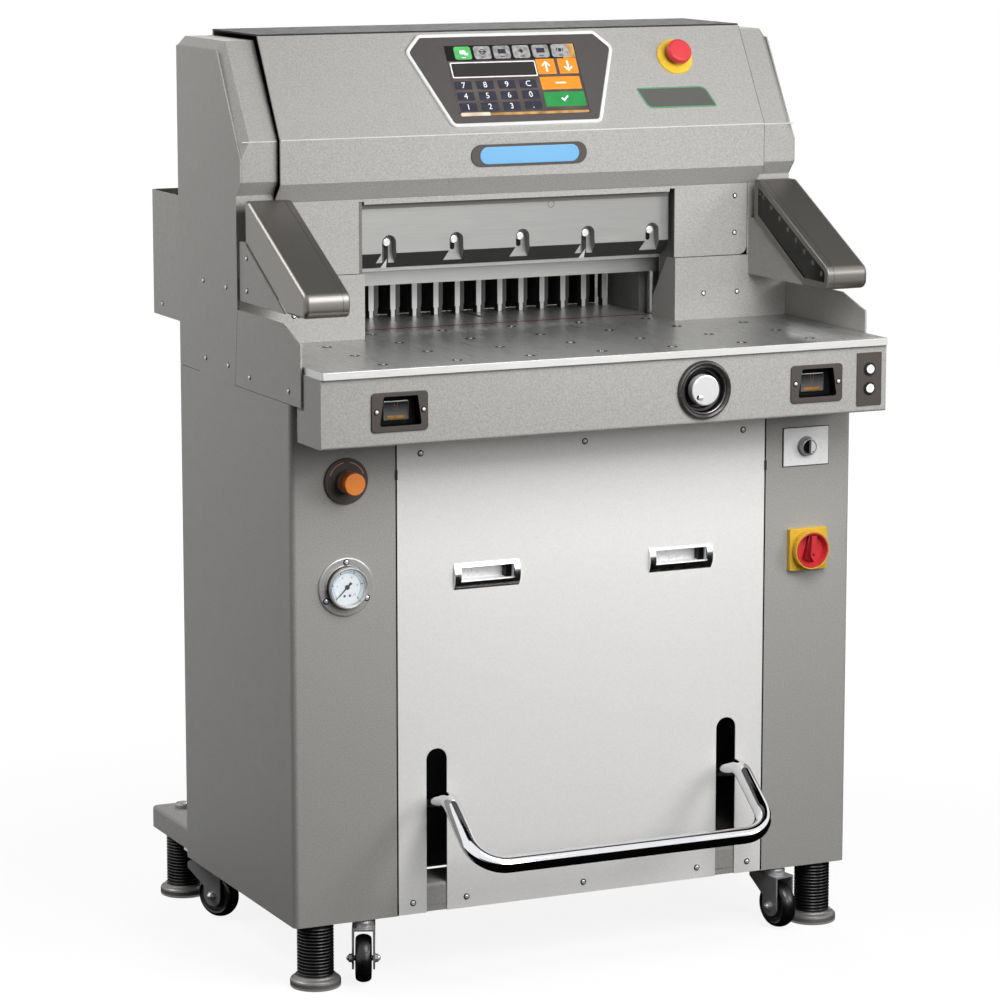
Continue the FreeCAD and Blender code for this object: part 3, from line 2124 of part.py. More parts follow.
def air_regulator():
    """The regulator's body, and the knob on its stem."""
    body = new_body("regulator_body")
    bore = size.spindle_radius + size.running
    plate = size.regulator_plate
    turn(
        body,
        "Y",
        (bore, -plate),
        (size.regulator_radius - plate / 2, -plate),
        (size.regulator_radius, -plate / 2),
        (size.regulator_radius, 0),
        (size.regulator_body, 0),
        (size.regulator_body, size.regulator_long),
        (bore, size.regulator_long),
    )
    place(body, size.regulator_across, size.cabinet_front, size.regulator_high)
    knob = new_body("regulator_knob")
    seat = -plate - size.clearance
    turn(
        knob,
        "Y",
        (0, -size.regulator_proud),
        (size.regulator_knob - size.knob_bevel, -size.regulator_proud),
        (size.regulator_knob, size.knob_bevel - size.regulator_proud),
        (size.regulator_knob, seat),
        (size.spindle_radius, seat),
        (size.spindle_radius, size.regulator_long / 2),
        (0, size.regulator_long / 2),
    )
    finish(knob, "regulator_knob", size.regulator_across, size.cabinet_front, size.regulator_high)
    return body


def gauge_case():
    """The pressure gauge's flanged case with its arbor."""
    body = new_body("gauge_case")
    flange = size.gauge_flange_thick
    dial_level = -size.gauge_proud + size.gauge_bowl
    arbor_end = dial_level - size.needle_thick * 2
    turn(
        body,
        "Y",
        (size.gauge_dial, -size.gauge_proud),
        (size.gauge_bezel - size.button_bevel, -size.gauge_proud),
        (size.gauge_bezel, size.button_bevel - size.gauge_proud),
        (size.gauge_bezel, -flange),
        (size.gauge_flange, -flange),
        (size.gauge_flange, 0),
        (size.gauge_body, 0),
        (size.gauge_body, size.gauge_body_long),
        (0, size.gauge_body_long),
        (0, arbor_end),
        (size.arbor_radius, arbor_end),
        (size.arbor_radius, dial_level),
        (size.gauge_dial, dial_level),
    )
    return place(body, size.gauge_across, size.cabinet_front, size.gauge_high)


def gauge_parts():
    """The gauge's window and its needle."""
    glass = new_body("gauge_glass")
    front = -size.gauge_proud + size.needle_thick
    rim = size.gauge_dial - size.running
    turn(
        glass,
        "Y",
        (0, front),
        (rim, front),
        (rim, front + size.glass_thick),
        (0, front + size.glass_thick),
    )
    finish(glass, "gauge_glass", size.gauge_across, size.cabinet_front, size.gauge_high)
    needle = new_body("gauge_needle")
    back = -size.gauge_proud + size.gauge_bowl - size.clearance
    half = size.arbor_radius / 2
    pad(
        needle,
        "XZ",
        back - size.needle_thick,
        back,
        circle(0, 0, size.needle_hub),
        circle(0, 0, size.arbor_radius + size.running),
    )
    hub = size.needle_hub - half
    pad(
        needle,
        "XZ",
        back - size.needle_thick,
        back,
        polygon((-half, -hub), (half, -hub), (half, -size.needle_long), (-half, -size.needle_long)),
        polygon((-half, hub), (half, hub), (half, size.needle_tail), (-half, size.needle_tail)),
    )
    finish(needle, "gauge_needle", size.gauge_across, size.cabinet_front, size.gauge_high)


# Head and console


def slope_place(across, up):
    """A point of the console's slope, up being the distance from its lower edge."""
    return (
        across,
        size.console_front + up * sine(size.slope_angle),
        size.slope_low + up * cosine(size.slope_angle),
    )


def on_slope(item, across=0, up=0, in_frame=False):
    """Stand an item's own Z axis square to the console's slope."""
    sideways = FreeCAD.Vector(1, 0, 0)
    lean = 90 - size.slope_angle
    item.Placement = FreeCAD.Placement(
        FreeCAD.Vector(0, 0, 0), FreeCAD.Rotation(sideways, lean.value)
    )
    bind(item, "Placement.Rotation.Angle", lean)
    across, back, high = slope_place(formula(across), formula(up))
    place(item, across, back - footprint_middle if in_frame else back, high)
    return item


console_slope_top = size.console_front + (size.console_top - size.top_cover - size.slope_low) * (
    sine(size.slope_angle) / cosine(size.slope_angle)
)


def console_housing():
    """The folded front of the head: slanted underside, upright face and slope."""
    body = new_body("console_housing")
    half = console_half
    rear = size.cabinet_rear - size.sheet - size.clearance
    top = size.console_top - size.top_cover
    low = size.face_plate_high + size.clearance
    pad(
        body,
        "YZ",
        -half,
        half,
        polygon(
            (size.head_front - size.cover_sheet / 2, low),
            (size.console_front, size.console_low),
            (size.console_front, size.slope_low),
            (console_slope_top, top),
            (rear, top),
            (rear, low),
        ),
    )
    hollow(
        body,
        size.cover_sheet,
        lambda middle, normal: max(abs(normal.x), abs(normal.z), normal.y) > 0.9,
    )
    neck = size.stop_neck + size.clearance
    across, back, high = slope_place(size.stop_across, size.stop_up)
    pocket(
        body,
        "XZ",
        back - neck * 2,
        back + neck * 2,
        circle(across, high, neck),
    )
    return finish(body, "console_housing")


def top_cover():
    """The lid of the head with its rear flange."""
    body = new_body("top_cover")
    half = console_half
    low = size.console_top - size.top_cover
    rear = size.cabinet_rear
    pad(
        body,
        "YZ",
        -half,
        half,
        polygon(
            (console_slope_top, low),
            (console_slope_top + size.top_cover / 2, size.console_top),
            (rear + size.top_cover, size.console_top),
            (rear + size.top_cover, low - size.top_flange),
            (rear + size.clearance, low - size.top_flange),
            (rear + size.clearance, low),
        ),
    )
    return finish(body, "top_cover")


def head_end_covers():
    """The two chamfered housings that close the head's ends."""
    members = []
    rear = size.cabinet_rear - size.sheet - size.clearance
    for side in (-1, 1):
        body = new_body(f"head_end_{side + 1}")
        outer = side * rail_outer
        pad(
            body,
            "YZ",
            side * (console_half + size.seam),
            outer,
            polygon(
                (size.head_front, size.end_under),
                (size.end_front, size.end_low),
                (size.end_front, size.end_slope_low),
                (size.end_top_front, size.end_top),
                (rear, size.end_top),
                (rear, size.end_under),
            ),
        )

        def on_upper_outline(edge):
            middle = edge.CenterOfMass
            outside = all(abs(v.Point.x - outer.value) < 0.01 for v in edge.Vertexes)
            ahead = middle.y < rear.value - size.seam.value
            return outside and ahead and middle.z > size.end_slope_low.value

        bevel(body, size.end_chamfer, on_upper_outline)
        hollow(
            body,
            size.end_wall,
            lambda middle, normal: normal.y > 0.9 or normal.z < -0.9 or normal.x * side < -0.9,
        )
        members.append(body)
    return group("head_end_covers", members)


def screen():
    """The six-sided bezel and the touch screen in its window."""
    bezel = new_body("screen_bezel")
    corner = size.bezel_corner
    half = size.screen_half
    pad(
        bezel,
        "XY",
        0,
        size.bezel_thick,
        polygon(
            (-size.bezel_low_half, size.bezel_low, corner),
            (size.bezel_low_half, size.bezel_low, corner),
            (size.bezel_wide_half, size.bezel_wide, corner),
            (size.bezel_top_half, size.bezel_top, corner),
            (-size.bezel_top_half, size.bezel_top, corner),
            (-size.bezel_wide_half, size.bezel_wide, corner),
        ),
        rectangle(-half, half, size.screen_low, size.screen_high),
    )
    bezel.Label = "screen_bezel"
    nodes.append(on_slope(bezel, in_frame=True))
    glass = new_body("touch_screen")
    play = size.clearance
    pad(
        glass,
        "XY",
        0,
        size.screen_thick,
        rectangle(play - half, half - play, size.screen_low + play, size.screen_high - play),
    )
    glass.Label = "touch_screen"
    nodes.append(on_slope(glass, in_frame=True))


def stop_control():
    """The stop button: a stem that slides in the slope and the mushroom that twists on it."""
    stem = new_body("stop_stem")
    turn(
        stem,
        "Z",
        (0, size.stop_stem_low),
        (size.stop_stem, size.stop_stem_low),
        (size.stop_stem, size.stop_button_low - size.clearance),
        (size.stop_pin, size.stop_button_low - size.clearance),
        (size.stop_pin, size.stop_button_high - size.stop_roof),
        (0, size.stop_button_high - size.stop_roof),
    )
    stem.Label = "stop_stem"
    nodes.append(on_slope(stem, size.stop_across, size.stop_up, in_frame=True))
    mushroom = new_body("stop_button")
    bore = size.stop_pin + size.running
    ceiling = size.stop_button_high - size.stop_roof + size.running
    turn(
        mushroom,
        "Z",
        (bore, size.stop_button_low),
        (size.stop_button - size.stop_edge, size.stop_button_low),
        (size.stop_button, size.stop_button_low + size.stop_edge),
        (size.stop_button, size.stop_button_high - size.stop_shoulder),
        (size.stop_button - size.stop_crown_in, size.stop_button_high - size.stop_crown),
        (size.stop_button - size.stop_top_in, size.stop_button_high),
        (0, size.stop_button_high),
        (0, ceiling),
        (bore, ceiling),
    )
    mushroom.Label = "stop_button"
    nodes.append(on_slope(mushroom, size.stop_across, size.stop_up, in_frame=True))


def status_lamp():
    """A long dark plate with the lamp's lens on it."""
    front = size.console_front
    plate = new_body("lamp_plate")
    tall = size.lamp_tall / 2
    pad(
        plate,
        "XZ",
        front - size.lamp_plate,
        front,
        rectangle(
            -size.lamp_half,
            size.lamp_half,
            size.lamp_high - tall,
            size.lamp_high + tall,
            tall - size.clearance,
        ),
    )
    lens = new_body("lamp_lens")
    tall = size.lamp_lens_tall / 2
    pad(
        lens,
        "XZ",
        front - size.lamp_proud,
        front - size.lamp_plate,
        rectangle(
            -size.lamp_lens_half,
            size.lamp_lens_half,
            size.lamp_high - tall,
            size.lamp_high + tall,
            tall - size.clearance,
        ),
    )
    return group("status_lamp", [plate, lens])


# Light-curtain arms


def window_outline():
    """Five-sided outline that follows the arm inside its rim."""
    return polygon(
        (size.arm_shoulder, size.arm_top - size.window_rim),
        (size.arm_shoulder - size.window_rim_nose, size.arm_back_low + size.window_rim_back),
        (size.arm_heel - size.window_rim, size.arm_low + size.window_rim_low),
        (size.arm_nose + size.window_rim, size.arm_low + size.window_rim),
        (size.arm_nose + size.window_rim_nose, size.arm_nose_high - size.window_rim),
    )


def curtain_arms():
    """Two slanted arms with dark windows towards the throat."""
    arms = []
    windows = []
    for side in (-1, 1):
        arm = new_body(f"curtain_arm_{side + 1}")
        inner = side * arm_inner
        pad(
            arm,
            "YZ",
            inner,
            side * arm_outer,
            polygon(
                (size.arm_back, size.arm_top),
                (size.arm_shoulder, size.arm_top, size.arm_edge),
                (size.arm_nose, size.arm_nose_high, size.arm_nose_round),
                (size.arm_nose, size.arm_low, size.arm_edge),
                (size.arm_heel, size.arm_low),
                (size.arm_back, size.arm_back_low),
            ),
        )
        bottom = side * (arm_inner + size.window_deep)
        pocket(arm, "YZ", inner, bottom, window_outline())
        arms.append(arm)
        window = new_body(f"curtain_window_{side + 1}")
        pad(window, "YZ", side * (arm_inner + size.clearance), bottom, window_outline())
        windows.append(window)
    group("curtain_arms", arms)
    group("curtain_windows", windows)


def arm_brackets():
    """Two folded triangles that carry the arms on the head's front."""
    members = []
    play = size.clearance * 2
    for side in (-1, 1):
        body = new_body(f"arm_bracket_{side + 1}")
        pad(
            body,
            "YZ",
            side * bracket_inner,
            side * bracket_outer,
            polygon(
                (size.head_front, size.arm_low),
                (size.arm_heel + play, size.arm_low),
                (size.arm_back + play, size.arm_back_low),
                (size.head_front, size.arm_back_low),
            ),
        )
        hollow(
            body,
            size.cover_sheet,
            lambda middle, normal: normal.z < -0.9 or (normal.y < -0.1 and normal.z > 0.1),
        )
        members.append(body)
    return group("arm_brackets", members)


# Foot pedal


def bent_bar(points, bends, radius):
    """A round bar along straight runs joined by tangent arcs."""
    edges = []
    start = points[0]
    for before, corner, after, bend in zip(points, points[1:], points[2:], bends):
        back = (before - corner).normalize()
        ahead = (after - corner).normalize()
        half = back.getAngle(ahead) / 2
        entry = corner + back * (bend / math.tan(half))
        leave = corner + ahead * (bend / math.tan(half))
        inward = (back + ahead).normalize()
        middle = corner + inward * (bend / math.sin(half) - bend)
        edges.append(Part.LineSegment(start, entry).toShape())
        edges.append(Part.Arc(entry, middle, leave).toShape())
        start = leave
    edges.append(Part.LineSegment(start, points[-1]).toShape())
    path = Part.Wire(edges)
    ring = Part.Wire(Part.Circle(points[0], points[1] - points[0], radius).toShape())
    return path.makePipeShell([ring], True, False)


def foot_pedal():
    """A bent tube: two cranked arms through the panel's slots and the bar between them."""
    points = []
    for side in (-1, 1):
        across = (size.panel_middle + side * slot_across).value
        arm = [
            FreeCAD.Vector(across, size.pedal_pivot.value, size.pedal_pivot_high.value),
            FreeCAD.Vector(across, size.pedal_knee.value, size.pedal_knee_high.value),
            FreeCAD.Vector(across, size.pedal_bar.value, size.pedal_bar_high.value),
        ]
        points.extend(arm if side < 0 else reversed(arm))
    knee = size.pedal_knee_round.value
    bar = size.pedal_bar_round.value
    bends = [knee, bar, bar, knee]
    shape = bent_bar(points, bends, size.pedal_radius.value)
    along = FreeCAD.Vector(1, 0, 0)
    for side, pivot in ((-1, points[0]), (1, points[-1])):
        half_boss = size.pedal_radius.value
        start = pivot - along * half_boss
        boss = Part.makeCylinder(size.pedal_boss.value, half_boss * 2, start, along)
        pin = Part.makeCylinder(
            size.pedal_pin.value, size.pedal_pin_long.value, pivot, along * side
        )
        shape = shape.fuse([boss, pin])
    item = doc.addObject("Part::Feature", "foot_pedal")
    item.Shape = shape.removeSplitter()
    return finish(item, "foot_pedal")


# All sub-parts, then the checks and the files


base_frame()
levelling_feet()
caster_races()
casters()
group("side_covers", [side_cover(side) for side in (-1, 1)])
front_panel()
pull_handles()
rear_cover()
rear_guard()
wing_plates()
table_plate()
table_balls()
cutting_stick()
frame_castings()
throat_covers()
face_plate()
knife_carrier()
knife_blade()
knife_bolts()
pull_rods("knife_pull_rods", size.knife_rod_rear, size.lug_low)
pull_rods("clamp_pull_rods", size.clamp_rod_rear, size.clamp_low)
clamp_beam()
back_gauge()
gauge_screw()
hydraulic_unit()
front_beam()
palm_switches()
handwheel()
push_buttons()
switch_plates()
column_switches()
group("air_controls", [air_regulator(), gauge_case()])
gauge_parts()
console_housing()
top_cover()
head_end_covers()
screen()
stop_control()
status_lamp()
curtain_arms()
arm_brackets()
foot_pedal()
doc.recompute()

for item in doc.Objects:
    if {"Invalid", "Error"} & set(item.State):
        raise RuntimeError(f"{item.Name} did not build: {item.State}")
    if item.TypeId == "PartDesign::Pocket":
        if item.Shape.Volume > item.BaseFeature.Shape.Volume - 0.1:
            raise RuntimeError(f"{item.Name} cuts nothing")
for item in nodes:
    if item.Shape.isNull() or not item.Shape.isValid():
        raise RuntimeError(f"{item.Label} has no valid shape")

os.makedirs("parts", exist_ok=True)
for item in nodes:
    item.Shape.exportStep(f"parts/{item.Label}.step")
print(len(nodes), "sub-parts")
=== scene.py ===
"""Looks of a floor-standing hydraulic paper cutter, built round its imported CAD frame.

Sizes are in millimetres in the machine's frame: X to the operator's right, Y to the back, Z up,
with the floor at 0. Meshes are turned to metres when they are made.
"""

import logging
import math
from dataclasses import dataclass
from enum import Enum
from typing import Any, Sequence

import bmesh
import bpy
from mathutils import Matrix, Vector


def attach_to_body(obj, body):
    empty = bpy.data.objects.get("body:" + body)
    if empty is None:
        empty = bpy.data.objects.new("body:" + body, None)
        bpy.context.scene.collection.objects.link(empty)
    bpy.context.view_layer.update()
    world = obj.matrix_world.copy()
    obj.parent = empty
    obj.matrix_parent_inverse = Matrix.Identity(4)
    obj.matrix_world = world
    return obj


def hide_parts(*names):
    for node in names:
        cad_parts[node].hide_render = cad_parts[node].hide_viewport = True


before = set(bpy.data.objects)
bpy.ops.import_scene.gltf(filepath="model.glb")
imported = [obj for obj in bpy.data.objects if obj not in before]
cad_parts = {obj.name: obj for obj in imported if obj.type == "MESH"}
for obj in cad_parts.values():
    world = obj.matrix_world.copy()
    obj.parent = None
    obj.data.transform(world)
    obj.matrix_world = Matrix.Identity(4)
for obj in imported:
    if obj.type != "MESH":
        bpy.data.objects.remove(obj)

LOG = logging.getLogger("paper_cutter")
SHADER = "Principled BSDF"
MM = 0.001
FRONT = (0, -1, 0)
UP = (0, 0, 1)
LEFT = (-1, 0, 0)
RIGHT = (1, 0, 0)
# Y of the columns' face, of the beam's face and of the head's upright face
COLUMN_FRONT = -365.3
BEAM_FRONT = -474.2
HEAD_FRONT = -186.4
# X of the middle of the front panel with its pedal, and of the throat with its knife
PANEL_MIDDLE = 8
THROAT_MIDDLE = 2.6
# The console's slope: height of its lower bend, its lean, and the directions out of it and up it
BEND_HIGH = 1241.5
SLOPE = math.radians(30.94)
SLOPE_OUT = (0, -math.cos(SLOPE), math.sin(SLOPE))
SLOPE_UP = (0, math.sin(SLOPE), math.cos(SLOPE))
# X of the stop button, and how far it is up the slope
STOP_AT = (277.7, 119.4)
# Angle between faces below which their edge is shaded soft, and length of a turned face in
# millimetres above which its ends are shaded sharp
SOFT_ANGLE = math.radians(32)
SOFT_REACH = 2.5

Socket = bpy.types.NodeSocket
Tree = bpy.types.NodeTree
Inputs = dict[str | int, Any]
Vert = bmesh.types.BMVert
Point = tuple[float, float]
Profile = Sequence[Point]
Places = list[tuple[Sequence[float], Sequence[float]]]


def linear(colour: str) -> tuple[float, float, float, float]:
    """Turn an sRGB hex colour to linear light.

    Args:
        colour: Six hex digits after a hash.

    Returns:
        Linear red, green and blue, and an alpha of 1.
    """
    shown = [int(colour[place : place + 2], 16) / 255 for place in (1, 3, 5)]
    light = [c / 12.92 if c <= 0.04045 else ((c + 0.055) / 1.055) ** 2.4 for c in shown]
    return light[0], light[1], light[2], 1


def attach(tree: Tree, node: bpy.types.Node, inputs: Inputs) -> None:
    """Give a node's inputs their values and their links.

    Args:
        tree: The node tree that holds the node.
        node: The node.
        inputs: Input names or places, each with a value or an output socket to link.
    """
    for key, value in inputs.items():
        if isinstance(value, Socket):
            tree.links.new(value, node.inputs[key])
        else:
            node.inputs[key].default_value = value


def add_node(
    tree: Tree, kind: str, inputs: Inputs | None = None, **settings: Any
) -> bpy.types.Node:
    """Add a node, with its settings, its values and its links.

    Args:
        tree: The node tree that gets the node.
        kind: The node's type name.
        inputs: Input names or places, each with a value or an output socket to link.
        **settings: Properties of the node itself.

    Returns:
        The new node.
    """
    node = tree.nodes.new(kind)
    for name, value in settings.items():
        setattr(node, name, value)
    attach(tree, node, inputs or {})
    return node


def new_material(name: str, inputs: Inputs) -> bpy.types.Material:
    """Make a material with a principled shader.

    Args:
        name: Its name.
        inputs: Inputs of the shader, each with its value.

    Returns:
        The material.
    """
    made = bpy.data.materials.new(name)
    made.use_nodes = True
    attach(made.node_tree, made.node_tree.nodes[SHADER], inputs)
    return made


def spot(
    across: float,
    back: float,
    high: float,
    out: Sequence[float] = FRONT,
    up: Sequence[float] = UP,
) -> Matrix:
    """Axes set down at a point of the machine.

    Args:
        across: X of the point.
        back: Y of the point.
        high: Z of the point.
        out: Direction of the local Z axis, out of the surface.
        up: Direction of the local Y axis, or near it.

    Returns:
        The matrix from local to machine millimetres.
    """
    outward = Vector(out).normalized()
    sideways = Vector(up).cross(outward).normalized()
    upward = outward.cross(sideways)
    place = Matrix((sideways, upward, outward)).transposed().to_4x4()
    place.translation = Vector((across, back, high))
    return place


def on_slope(across: float, up: float, out: float = 0) -> Matrix:
    """Axes on the console's slope.

    Args:
        across: X of the point.
        up: Distance up the slope from its lower bend.
        out: Height over the slope.

    Returns:
        The matrix from local to machine millimetres.
    """
    bend = Vector((across, HEAD_FRONT, BEND_HIGH))
    return spot(*(bend + up * Vector(SLOPE_UP) + out * Vector(SLOPE_OUT)), SLOPE_OUT, SLOPE_UP)


def moved(place: Matrix, across: float = 0, up: float = 0, out: float = 0) -> Matrix:
    """Axes moved along themselves.

    Args:
        place: The axes.
        across: How far along their X.
        up: How far along their Y.
        out: How far along their Z.

    Returns:
        The moved axes.
    """
    return place @ Matrix.Translation((across, up, out))


def polar(radius: float, turn: float) -> Point:
    """Point at a distance and a turn from 0.

    Args:
        radius: The distance.
        turn: The turn in radians.

    Returns:
        Its X and Y.
    """
    return radius * math.cos(turn), radius * math.sin(turn)


def disc(radius: float, low: float, high: float) -> Profile:
    """Profile of a turned disc with sharp edges.

    Args:
        radius: Its radius.
        low: Height of its underside.
        high: Height of its face.

    Returns:
        Radius and height of each corner.
    """
    return (0, low), (radius, low), (radius, high), (0, high)


def tube(inner: float, outer: float, low: float, high: float) -> Profile:
    """Profile of a turned ring with sharp edges.

    Args:
        inner: Its inner radius.
        outer: Its outer radius.
        low: Height of its underside.
        high: Height of its face.

    Returns:
        Radius and height of each corner.
    """
    return (inner, low), (outer, low), (outer, high), (inner, high)


# Finishes


class Grain(Enum):
    """The way that machining lines run, as how far the pattern is stretched along X, Y and Z."""

    ACROSS = (60, 1, 1)
    BACK = (1, 60, 1)
    HIGH = (1, 1, 60)
    NONE = (1, 1, 1)


class Surface:
    """Nodes of a material, with the patterns that feed its shader."""

    def __init__(self, made: bpy.types.Material, roughness: float) -> None:
        """Take up a material.

        Args:
            made: The material.
            roughness: How matt it is in the middle.
        """
        self.tree = made.node_tree
        self.roughness = roughness

    def feed(self, inputs: Inputs) -> None:
        """Give the shader's inputs their values and links, as in attach."""
        attach(self.tree, self.tree.nodes[SHADER], inputs)

    def pattern(self, size: float, grain: Grain = Grain.NONE, detail: float = 2) -> Socket:
        """Add a noise with features of a real size.

        Args:
            size: The features' size in millimetres.
            grain: How the features are drawn out.
            detail: Octaves of finer noise.

        Returns:
            The noise's value, about 0.5 in the middle.
        """
        scale = tuple(1 / (MM * size * stretch) for stretch in grain.value)
        where = add_node(self.tree, "ShaderNodeTexCoord").outputs["Object"]
        inputs = {"Vector": where, "Scale": scale}
        sized = add_node(self.tree, "ShaderNodeMapping", inputs)
        inputs = {"Vector": sized.outputs["Vector"], "Scale": 1, "Detail": detail}
        return add_node(self.tree, "ShaderNodeTexNoise", inputs).outputs["Fac"]

    def blend(self, value: Socket, low: str, high: str, start: float, end: float) -> Socket:
        """Turn a value to a colour between two.

        Args:
            value: The value.
            low: The first colour.
            high: The second colour.
            start: The value that gives the first colour.
            end: The value that gives the second one.

        Returns:
            The colour.
        """
        inputs = {"Value": value, "From Min": start, "From Max": end}
        ramp = add_node(self.tree, "ShaderNodeMapRange", inputs)
        inputs = {"Fac": ramp.outputs["Result"], "Color1": linear(low), "Color2": linear(high)}
        return add_node(self.tree, "ShaderNodeMixRGB", inputs).outputs["Color"]

    def roughen(self, value: Socket, amount: float) -> None:
        """Let the roughness go up and down with a noise.

        Args:
            value: The noise.
            amount: How far the roughness goes each way.
        """
        least, most = max(0, self.roughness - amount), self.roughness + amount
        limits = {"From Min": 0.3, "From Max": 0.7, "To Min": least, "To Max": most}
        ramp = add_node(self.tree, "ShaderNodeMapRange", {"Value": value, **limits})
        self.feed({"Roughness": ramp.outputs["Result"]})

    def relief(self, value: Socket, depth: float, strength: float) -> None:
        """Raise the surface by a noise.

        Args:
            value: The noise.
            depth: Height of the relief in millimetres.
            strength: How much of it shows.
        """
        inputs = {"Height": value, "Distance": depth * MM, "Strength": strength}
        bump = add_node(self.tree, "ShaderNodeBump", inputs)
        self.feed({"Normal": bump.outputs["Normal"]})


@dataclass(frozen=True)
class Finish:
    """What every finish has.

    Attributes:
        name: The material's name.
        colour: Its colour in sRGB hex.
        roughness: How matt its surface is.
    """

    name: str
    colour: str
    roughness: float = 0.5

    def material(self) -> bpy.types.Material:
        """Make the material, or find it where it is made already.

        Returns:
            The Blender material.
        """
        found = bpy.data.materials.get(self.name)
        if found:
            return found
        colour = linear(self.colour)
        made = new_material(self.name, {"Base Color": colour, "Roughness": self.roughness})
        made.diffuse_color = colour
        self.work(Surface(made, self.roughness))
        return made

    def work(self, surface: Surface) -> None:
        """Add this finish's own nodes.

        Args:
            surface: The material's nodes.
        """
        raise NotImplementedError


@dataclass(frozen=True)
class PowderCoat(Finish):
    """Polyester powder coat, sprayed dry and baked: a fine orange-peel with metal flecks.

    The flecks are drawn about 1.8 mm wide, because the real ones are too fine to show.

    Fleck and shade are the colours of light and dark places; grain is the flecks' width and
    depth the height of the orange-peel, in millimetres.
    """

    fleck: str = "#FFFFFF"
    shade: str = "#000000"
    grain: float = 1.8
    depth: float = 0.12
    shine: float = 0.35

    def work(self, surface: Surface) -> None:
        """Flecks in the colour, orange-peel in the relief and a soft cloud in the roughness.

        Args:
            surface: The material's nodes.
        """
        flecks = surface.pattern(self.grain, detail=3)
        colour = surface.blend(flecks, self.shade, self.fleck, 0.28, 0.72)
        surface.roughen(surface.pattern(14), 0.05)
        surface.relief(flecks, self.depth, 0.6)
        surface.feed({"Base Color": colour, "Specular IOR Level": self.shine})


@dataclass(frozen=True)
class BareMetal(Finish):
    """Bare or plated metal with the lines of its grinding, rolling or polishing.

    Line and depth are the lines' width and depth in millimetres, coarser than real ones, which
    are too fine to show. Spread is the colour of their low places, and wander how far the
    roughness goes with them. Metallic is less than 1 where a haze lies over the metal.
    """

    line: float = 0.9
    depth: float = 0.01
    spread: str = "#808080"
    wander: float = 0.06
    metallic: float = 1
    grain: Grain = Grain.NONE

    def work(self, surface: Surface) -> None:
        """Lines of the tool in colour, roughness and relief.

        Args:
            surface: The material's nodes.
        """
        lines = surface.pattern(self.line, self.grain)
        colour = surface.blend(lines, self.spread, self.colour, 0.2, 0.8)
        surface.roughen(lines, self.wander)
        surface.relief(lines, self.depth, 0.5)
        surface.feed({"Base Color": colour, "Metallic": self.metallic})


@dataclass(frozen=True)
class Plastic(Finish):
    """Moulded plastic or rubber: spark-eroded grain when matt, a faint ripple when glossy.

    Mottle is the colour of its darker places; grain and depth are the width and depth of the
    grain in millimetres; coat is how strong the clear gloss over it is.
    """

    mottle: str = "#000000"
    grain: float = 1.2
    depth: float = 0.03
    coat: float = 0
    shine: float = 0.5

    def work(self, surface: Surface) -> None:
        """Grain in the relief, and a slow change of tone and roughness.

        Args:
            surface: The material's nodes.
        """
        fine = surface.pattern(self.grain)
        slow = surface.pattern(9)
        colour = surface.blend(slow, self.mottle, self.colour, 0.15, 0.85)
        surface.roughen(slow, self.roughness * 0.2)
        surface.relief(fine, self.depth, 0.4)
        surface.feed({"Base Color": colour, "Specular IOR Level": self.shine})
        surface.feed({"Coat Weight": self.coat, "Coat Roughness": 0.08})


@dataclass(frozen=True)
class Pane(Finish):
    """Smoked pane that is darker towards its top, as painted shade.

    The change from its colour to the top's runs between two heights in millimetres.
    """

    # Colour of the painted shade at the upper height
    top: str = "#101012"
    low: float = 860
    high: float = 888

    def work(self, surface: Surface) -> None:
        """One colour that runs into the other with height, and a faint wiping in the gloss.

        Args:
            surface: The material's nodes.
        """
        where = add_node(surface.tree, "ShaderNodeTexCoord").outputs["Object"]
        split = add_node(surface.tree, "ShaderNodeSeparateXYZ", {"Vector": where})
        height = split.outputs["Z"]
        colour = surface.blend(height, self.colour, self.top, self.low * MM, self.high * MM)
        surface.feed({"Base Color": colour})
        surface.roughen(surface.pattern(8), 0.02)


@dataclass(frozen=True)
class Glow(Finish):
    """A surface lit from behind, such as a display's key or a lamp's lens.

    Edge is its colour where less light comes through, and size the width of that change.
    """

    strength: float = 0.6
    edge: str = "#000000"
    size: float = 6

    def work(self, surface: Surface) -> None:
        """A slow change of the light behind the surface.

        Args:
            surface: The material's nodes.
        """
        slow = surface.pattern(self.size, detail=0)
        shown = surface.blend(slow, self.edge, self.colour, 0.1, 0.9)
        surface.feed({"Emission Color": shown, "Base Color": shown})
        surface.feed({"Emission Strength": self.strength})


@dataclass(frozen=True)
class Glass(Finish):
    """Clear float glass with a trace of wiping."""

    def work(self, surface: Surface) -> None:
        """Faint wiping marks in the roughness.

        Args:
            surface: The material's nodes.
        """
        surface.roughen(surface.pattern(12), 0.01)
        surface.feed({"Transmission Weight": 1, "IOR": 1.45})


# Structured polyester powder: warm grey with light and dark flecks and a soft sheen
GREY_COAT = PowderCoat(
    "grey_powder_coat", "#A9A8A5", 0.55, fleck="#B8B7B4", shade="#9A9996", depth=0.05, shine=0.25
)
# The smoother light grey powder of the front panel: even, with a soft sheen
LIGHT_COAT = PowderCoat(
    "light_powder_coat", "#F4F3F1", 0.42, fleck="#F8F7F5", shade="#EFEEEC", grain=3, depth=0.02
)
# Semi-gloss black powder: fine grain, deep
BLACK_COAT = PowderCoat(
    "black_powder_coat", "#3A3A3B", 0.6, fleck="#464647", shade="#2E2E2F", depth=0.05, shine=0.06
)
# Dark lacquer of the sunk plates: brown-grey, even
PLATE_COAT = PowderCoat(
    "plate_lacquer", "#524C49", 0.42, fleck="#55504D", shade="#4F4946", grain=1.4, depth=0.02,
    shine=0.25,
)
# Casting enamel, brushed on thick: mid grey, a little uneven
CASTING_ENAMEL = PowderCoat(
    "casting_enamel", "#70706E", 0.45, fleck="#787876", shade="#666664", grain=4, depth=0.08
)
